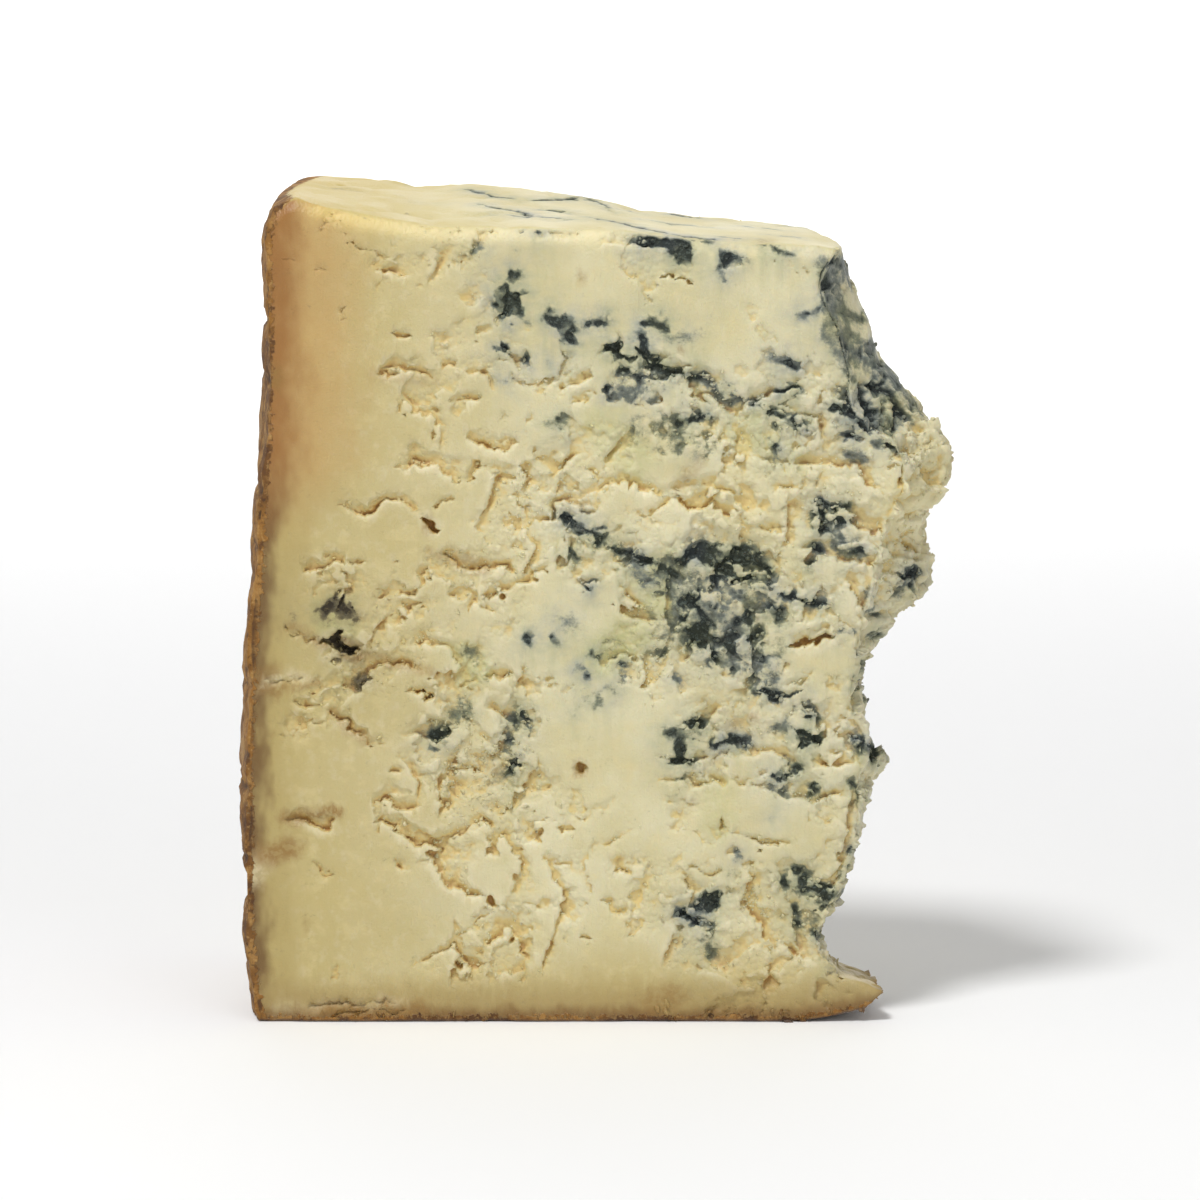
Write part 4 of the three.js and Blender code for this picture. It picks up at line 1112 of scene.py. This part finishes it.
# ---------------------------------------------------------------- shared effects
def grains(tree, size, seed=0.0):
    """Rounded grains on the object's own coordinates, from 0 between them to 1 on top."""
    place = add_node(tree, "ShaderNodeTexCoord").outputs["Object"]
    inputs = {"Vector": place, "Scale": [1 / (size * MM)] * 3, "Location": (seed, seed, seed)}
    place = add_node(tree, "ShaderNodeMapping", inputs).outputs["Vector"]
    cells = add_node(tree, "ShaderNodeTexVoronoi", {"Vector": place, "Scale": 1.0})
    return remap(tree, cells.outputs["Distance"], 0.75, 0.05)


def curd_group():
    """Curd: cream to straw, grained where it is torn, with painted shade in its clefts, golden to brown, and a pale
    painted highlight on its edges.
    """
    inputs = {"Straw": ("Float", 0.0), "Cleft": ("Float", 0.0), "Torn": ("Float", 0.0)}
    outputs = {"Colour": "Color", "Height": "Float", "Roughness": "Float"}
    tree, given, out = new_group("curd", inputs, outputs)
    soft = grain(tree, 9, 2)
    cream = blend(tree, remap(tree, soft, 0.35, 0.65), shade(219, 211, 172), shade(211, 201, 156))
    cream = blend(tree, given["Straw"], cream, shade(188, 169, 106))
    patches = remap(tree, grain(tree, 2.4, 3, 0.6, (1.2, 1.2, 1), 3.1), 0.5, 0.7, 0, 0.3)
    cream = blend(tree, patches, cream, shade(222, 206, 152))
    cloudy = remap(tree, grain(tree, 1.7, 3, 0.6, (1, 1, 1), 5.2), 0.5, 0.72, 0, 0.14)
    cream = blend(tree, cloudy, cream, shade(231, 224, 198))
    # Painted shade: the cleft measure, raised between grains where the curd is torn, paints a place golden, then brown,
    # the deeper it lies, and browner near the rind.
    lumpy = grains(tree, 0.9, 6.0)
    cleft = number(tree, "MULTIPLY", given["Torn"], remap(tree, lumpy, 0.55, 0.1, 0, 0.12))
    cleft = number(tree, "ADD", given["Cleft"], cleft)
    cream = blend(tree, remap(tree, cleft, 0.06, 0.46, 0, 0.85), cream, shade(220, 195, 126))
    cream = blend(tree, remap(tree, cleft, 0.5, 1.2, 0, 0.85), cream, shade(172, 124, 60))
    golden = number(tree, "MULTIPLY", remap(tree, cleft, 0.16, 0.8), given["Straw"])
    cream = blend(tree, number(tree, "MULTIPLY", golden, 0.8), cream, shade(158, 108, 50))
    # Painted highlight: edges that stand out of what is round them are painted pale.
    edge = remap(tree, cleft, -0.04, -0.3, 0, 0.4)
    tree.links.new(blend(tree, edge, cream, shade(235, 226, 192)), out["Colour"])

    lumpy = number(tree, "MULTIPLY", lumpy, number(tree, "MULTIPLY", given["Torn"], 0.6))
    streaked = grain(tree, 0.4, 1, 0.6, (1, 1, 10), 2.3)
    smooth = number(tree, "SUBTRACT", 1.0, given["Torn"])
    streaked = number(tree, "MULTIPLY", streaked, number(tree, "MULTIPLY", smooth, 0.5))
    fine = number(tree, "MULTIPLY", grain(tree, 0.35, 2, 0.65, (1, 1, 1), 1.7), 0.5)
    tree.links.new(number(tree, "ADD", number(tree, "ADD", lumpy, streaked), fine), out["Height"])
    tree.links.new(remap(tree, soft, 0.3, 0.7, 0.42, 0.58), out["Roughness"])
    return tree


def mould_group():
    """Blue mould: a near-black, blue-green core in grains and grey specks, the specks partly painted glints, with a
    grey-blue haze; darker in its clefts, partly by painted shade.
    """
    inputs = {
        "Paste": ("Color", (0.6, 0.5, 0.3, 1)), "Vein": ("Float", 0.0), "Halo": ("Float", 0.0),
        "Dragged": ("Float", 0.0), "Cleft": ("Float", 0.0), "Warm": ("Float", 0.0),
    }
    outputs = {"Colour": "Color", "Core": "Float", "Height": "Float"}
    tree, given, out = new_group("mould", inputs, outputs)
    fine = grain(tree, 0.5, 3, 0.7, (1.2, 1, 1), 11.0)
    coarse = grain(tree, 1.6, 3, 0.6, (1.3, 1, 1), 12.0)
    hue = remap(tree, grain(tree, 6, 1, 0.5, (1, 1, 1), 13.0), 0.4, 0.62)
    broken = number(tree, "ADD", number(tree, "MULTIPLY", fine, 0.6), number(tree, "MULTIPLY", coarse, 0.7))
    ragged = number(tree, "ADD", given["Vein"], number(tree, "SUBTRACT", broken, 0.65))
    # Clefts push the mould towards its near-black core and edges towards its paler haze: mould that gathers in the
    # clefts, with painted shade in them and a painted highlight on the edges.
    cleft = remap(tree, given["Cleft"], -0.25, 0.35, -0.5, 0.34)
    ragged = number(tree, "ADD", ragged, number(tree, "MULTIPLY", cleft, given["Halo"]))

    streaks = remap(tree, grain(tree, 1.6, 2, 0.6, (1, 1, 6), 14.0), 0.38, 0.66)
    streaks = number(tree, "MULTIPLY", number(tree, "MULTIPLY", streaks, given["Dragged"]), 0.4)
    colour = blend(tree, streaks, given["Paste"], shade(158, 162, 112))
    haze = number(tree, "MULTIPLY", given["Halo"], remap(tree, coarse, 0.3, 0.7, 0.35, 1.0))
    haze_colour = blend(tree, hue, shade(160, 164, 138), shade(150, 156, 152))
    haze_colour = blend(tree, given["Warm"], haze_colour, shade(150, 138, 98))
    colour = blend(tree, number(tree, "MULTIPLY", haze, 0.9), colour, haze_colour)
    middle_colour = blend(tree, hue, shade(114, 119, 94), shade(106, 114, 106))
    middle_colour = blend(tree, given["Warm"], middle_colour, shade(98, 88, 58))
    colour = blend(tree, remap(tree, ragged, 0.1, 0.5, 0, 0.9), colour, middle_colour)
    core_colour = blend(tree, hue, shade(50, 56, 44), shade(40, 47, 47))
    core_colour = blend(tree, given["Warm"], core_colour, shade(50, 42, 28))
    # Grey specks in the core: partly the mould's own grain, partly painted glints of a wet surface.
    specks_and_glints = remap(tree, fine, 0.5, 0.68, 0, 0.65)
    speck_and_glint_colour = blend(tree, given["Warm"], shade(98, 107, 98), shade(104, 92, 58))
    core_colour = blend(tree, specks_and_glints, core_colour, speck_and_glint_colour)
    core = remap(tree, ragged, 0.38, 0.86)
    tree.links.new(blend(tree, core, colour, core_colour), out["Colour"])
    tree.links.new(core, out["Core"])
    furry = number(tree, "MULTIPLY", fine, number(tree, "MULTIPLY", given["Vein"], 1.5))
    tree.links.new(furry, out["Height"])
    return tree


def crust_group():
    """Dry rind: brown, with painted shade in its wrinkles, pale specks and a grey-beige bloom in patches."""
    inputs = {"Bloom": ("Float", 0.5), "Cleft": ("Float", 0.0)}
    tree, given, out = new_group("crust", inputs, {"Colour": "Color", "Height": "Float"})
    broad = grain(tree, 13, 4, 0.6, (1, 1, 1), 21.0)
    middle = grain(tree, 3.0, 3, 0.6, (1, 1, 1), 22.0)
    fine = grain(tree, 0.75, 2, 0.7, (1, 1, 1), 23.0)
    colour = blend(tree, remap(tree, broad, 0.38, 0.6), shade(108, 71, 28), shade(148, 103, 42))
    colour = blend(tree, remap(tree, middle, 0.48, 0.64, 0, 0.6), colour, shade(180, 138, 76))
    colour = blend(tree, remap(tree, middle, 0.46, 0.36, 0, 0.8), colour, shade(86, 56, 28))
    colour = blend(tree, remap(tree, fine, 0.56, 0.7, 0, 0.4), colour, shade(200, 162, 100))
    colour = blend(tree, remap(tree, fine, 0.44, 0.32, 0, 0.6), colour, shade(66, 42, 22))
    dusty = number(tree, "ADD", broad, number(tree, "MULTIPLY", middle, 0.5))
    bloom = number(tree, "MULTIPLY", remap(tree, dusty, 0.7, 0.86, 0, 0.7), given["Bloom"])
    colour = blend(tree, bloom, colour, shade(170, 154, 124))
    # Painted shade: dark brown where the crust lies deep in its wrinkles.
    deep = remap(tree, given["Cleft"], 0.02, 0.24, 0, 0.8)
    tree.links.new(blend(tree, deep, colour, shade(64, 44, 26)), out["Colour"])
    tree.links.new(number(tree, "ADD", middle, number(tree, "MULTIPLY", fine, 0.6)), out["Height"])
    return tree


# ---------------------------------------------------------------- materials
def new_material(name):
    material = bpy.data.materials.new(name)
    material.use_nodes = True
    tree = material.node_tree
    tree.nodes.clear()
    surface = tree.nodes.new("ShaderNodeBsdfPrincipled")
    leave = tree.nodes.new("ShaderNodeOutputMaterial")
    tree.links.new(surface.outputs["BSDF"], leave.inputs["Surface"])
    return material, tree, surface


def translucent(surface, weight):
    """Light passes a little way into cheese."""
    surface.inputs["Subsurface Weight"].default_value = weight
    surface.inputs["Subsurface Radius"].default_value = (1.0, 0.62, 0.28)
    surface.inputs["Subsurface Scale"].default_value = 0.9 * MM


def cheese_material(effects):
    """The whole wedge: paste stained towards the rind, crust, hollows and mould, with painted shade in the hollows and
    on the top face and a painted highlight along the top edge.
    """
    material, tree, surface = new_material("blue_cheese")
    side = drawn(tree, "rind_side")
    base = drawn(tree, "rind_base")
    wander = grain(tree, 3.2, 2, 0.6, (1, 1, 1.8), 31.0)
    ragged = grain(tree, 0.8, 2, 0.6, (1, 1, 1), 32.0)
    place = add_node(tree, "ShaderNodeTexCoord").outputs["Object"]
    height = add_node(tree, "ShaderNodeSeparateXYZ", {0: place}).outputs["Z"]
    upper = remap(tree, height, 64 * MM, 84 * MM)

    straw = number(tree, "MAXIMUM", remap(tree, side, 46, 6, 0, 0.8), remap(tree, base, 16, 3, 0, 0.8))
    curd = use_group(tree, effects["curd"], {
        "Straw": straw, "Cleft": drawn(tree, "cleft"), "Torn": drawn(tree, "torn"),
    })
    colour = curd["Colour"]

    reach = number(tree, "MULTIPLY", remap(tree, upper, 0, 1, 9, 17), remap(tree, drawn(tree, "topside"), 0, 1, 1, 0.3))
    stain = number(tree, "DIVIDE", number(tree, "ADD", side, remap(tree, wander, 0, 1, -2, 2)), reach)
    amber = blend(tree, upper, shade(178, 158, 98), shade(192, 158, 98))
    colour = blend(tree, remap(tree, stain, 1.05, 0.3, 0, 0.92), colour, amber)
    brown = blend(tree, upper, shade(116, 86, 42), shade(154, 106, 48))
    colour = blend(tree, remap(tree, stain, 0.44, 0.04, 0, 0.97), colour, brown)
    low = number(tree, "ADD", base, remap(tree, wander, 0, 1, -0.8, 0.8))
    colour = blend(tree, remap(tree, low, 8, 2.4, 0, 0.8), colour, shade(166, 143, 88))
    colour = blend(tree, remap(tree, low, 3.0, 0.9, 0, 0.9), colour, shade(128, 94, 44))
    patchy = remap(tree, ragged, 0.38, 0.58, 0.6, 1)
    for kind, stain_colour in (("olive", (187, 188, 122)), ("bloom", (208, 193, 150)), ("brown", (148, 112, 54))):
        stained = number(tree, "MULTIPLY", drawn(tree, kind), patchy)
        colour = blend(tree, stained, colour, shade(*stain_colour))
    # Painted shade: the top face, which the light from above strikes most, is painted darker and yellower, most of all
    # near the rind.
    topside = number(tree, "MULTIPLY", drawn(tree, "topside"), remap(tree, side, 4, 60, 0.9, 0.4))
    colour = blend(tree, topside, colour, blend(tree, remap(tree, side, 2, 30), shade(200, 178, 106), shade(208, 193, 136)))
    # Painted highlight: a pale band along the front cut's top edge, golden near the rind.
    painted_rim_highlight = number(tree, "MULTIPLY", drawn(tree, "painted_rim_highlight"), remap(tree, side, 1.5, 7, 0, 0.65))
    colour = blend(tree, painted_rim_highlight, colour, blend(tree, remap(tree, side, 8, 34), shade(232, 208, 132), shade(236, 224, 178)))

    mould = use_group(tree, effects["mould"], {
        "Paste": colour, "Vein": drawn(tree, "vein"), "Halo": drawn(tree, "halo"),
        "Dragged": drawn(tree, "dragged"), "Cleft": drawn(tree, "cleft"),
        "Warm": remap(tree, side, 26, 16),
    })
    crust = use_group(tree, effects["crust"], {"Bloom": drawn(tree, "outer"), "Cleft": drawn(tree, "cleft")})
    under = remap(tree, base, 0.6, 0.15, 0, 0.75)
    crust_colour = blend(tree, under, crust["Colour"], shade(90, 78, 72))
    side_edge = number(tree, "ADD", side, remap(tree, ragged, 0, 1, -0.7, 0.7))
    side_edge = number(tree, "SUBTRACT", side_edge, number(tree, "MULTIPLY", drawn(tree, "topside"), 0.9))
    base_edge = number(tree, "ADD", base, remap(tree, ragged, 0, 1, -0.8, 0.8))
    crusted = number(tree, "MAXIMUM", remap(tree, side_edge, 0.95, 0.65), remap(tree, base_edge, 1.05, 0.7))
    tree.links.new(blend(tree, crusted, mould["Colour"], crust_colour), surface.inputs["Base Color"])

    rough = number(tree, "MAXIMUM", curd["Roughness"], number(tree, "MULTIPLY", mould["Core"], 0.9))
    rough = number(tree, "MAXIMUM", rough, number(tree, "MULTIPLY", crusted, 0.85))
    tree.links.new(rough, surface.inputs["Roughness"])

    bump = number(tree, "ADD", curd["Height"], mould["Height"])
    bump = number(tree, "ADD", bump, number(tree, "MULTIPLY", crust["Height"], crusted))
    bump = add_node(tree, "ShaderNodeBump", {"Height": bump, "Strength": 0.8, "Distance": 0.25 * MM})
    tree.links.new(bump.outputs["Normal"], surface.inputs["Normal"])
    translucent(surface, 0.2)
    return material


# ---------------------------------------------------------------- floor, light and camera
def own_place(across, back, up):
    """A place in the wedge's own millimetres, as a place in the frame."""
    return Vector((LOW.x + (across + RIND_OVERHANG) * MM, LOW.y + back * MM, LOW.z + up * MM))


def make_floor():
    """A floor that bends up into a backdrop."""
    half, bend, back, height = 4.0, 0.6, 1.6, 3.5
    turns = [math.radians(5 * step) for step in range(19)]
    outline = [(-2.5, 0.0)]
    outline += [(back + bend * math.sin(turn), bend - bend * math.cos(turn)) for turn in turns]
    outline.append((back + bend, height))
    corners = [(across, y, z) for y, z in outline for across in (-half, half)]
    faces = [(i, i + 1, i + 3, i + 2) for i in range(0, len(corners) - 2, 2)]
    mesh = bpy.data.meshes.new("floor")
    mesh.from_pydata(corners, [], faces)
    mesh.shade_smooth()
    floor = bpy.data.objects.new("floor", mesh)
    bpy.context.scene.collection.objects.link(floor)
    material, _, surface = new_material("pale_floor")
    surface.inputs["Base Color"].default_value = (0.92, 0.92, 0.92, 1)
    surface.inputs["Roughness"].default_value = 0.9
    mesh.materials.append(material)


def make_lamp(name, place, aim, size, power):
    light = bpy.data.lights.new(name, "AREA")
    light.shape = "DISK"
    light.size = size
    light.energy = power
    lamp = bpy.data.objects.new(name, light)
    lamp.location = place
    lamp.rotation_euler = (aim - place).to_track_quat("-Z", "Y").to_euler()
    bpy.context.scene.collection.objects.link(lamp)


def make_light():
    middle = own_place(50, 10, 60)
    make_lamp("key", middle + Vector((-0.2, -0.36, 0.78)), middle, 0.2, 5.2)
    make_lamp("fill", middle + Vector((0.5, -0.9, 0.3)), middle, 0.6, 1.45)
    make_lamp("backdrop", Vector((0, 1.0, 1.4)), Vector((0, 2.2, 0.6)), 1.2, 30.0)
    world = bpy.data.worlds.new("studio")
    world.use_nodes = True
    world.node_tree.nodes["Background"].inputs["Color"].default_value = (1, 1, 1, 1)
    world.node_tree.nodes["Background"].inputs["Strength"].default_value = 0.39
    bpy.context.scene.world = world


def make_camera():
    data = bpy.data.cameras.new("camera")
    camera = bpy.data.objects.new("camera", data)
    bpy.context.scene.collection.objects.link(camera)
    camera.location = own_place(VIEW_ACROSS, -VIEW_DISTANCE, VIEW_HEIGHT)
    aim = own_place(VIEW_ACROSS, 0, AIM_HEIGHT)
    camera.rotation_euler = (aim - camera.location).to_track_quat("-Z", "Y").to_euler()
    data.sensor_width = SENSOR
    data.lens = SENSOR * (aim - camera.location).length / (FRAME_WIDTH * MM)
    data.clip_start, data.clip_end = 0.05, 20
    bpy.context.scene.camera = camera


# ---------------------------------------------------------------- the whole
make_camera()
make_light()
make_floor()
bpy.context.scene.view_settings.view_transform = "Standard"
effects = {"curd": curd_group(), "mould": mould_group(), "crust": crust_group()}

cheese = cheese_material(effects)
wedge = make_wedge()
wedge.data.materials.append(cheese)
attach(wedge, "root")
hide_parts("cheese_wedge")

scattering = scatter_tree()
lump = loose_shape("lump", 2, 171)
grit = loose_shape("grit", 1, 172)
for name, shape, where, per_square_mm, smallest, largest, seed, slot in LOOSE:
    shape = {"lump": lump, "grit": grit}[shape]
    piece = scatter(name, scattering, wedge, cheese, shape, where, per_square_mm, smallest, largest, seed)
    print(name, len(piece.data.polygons), "faces")
    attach(piece, "root")
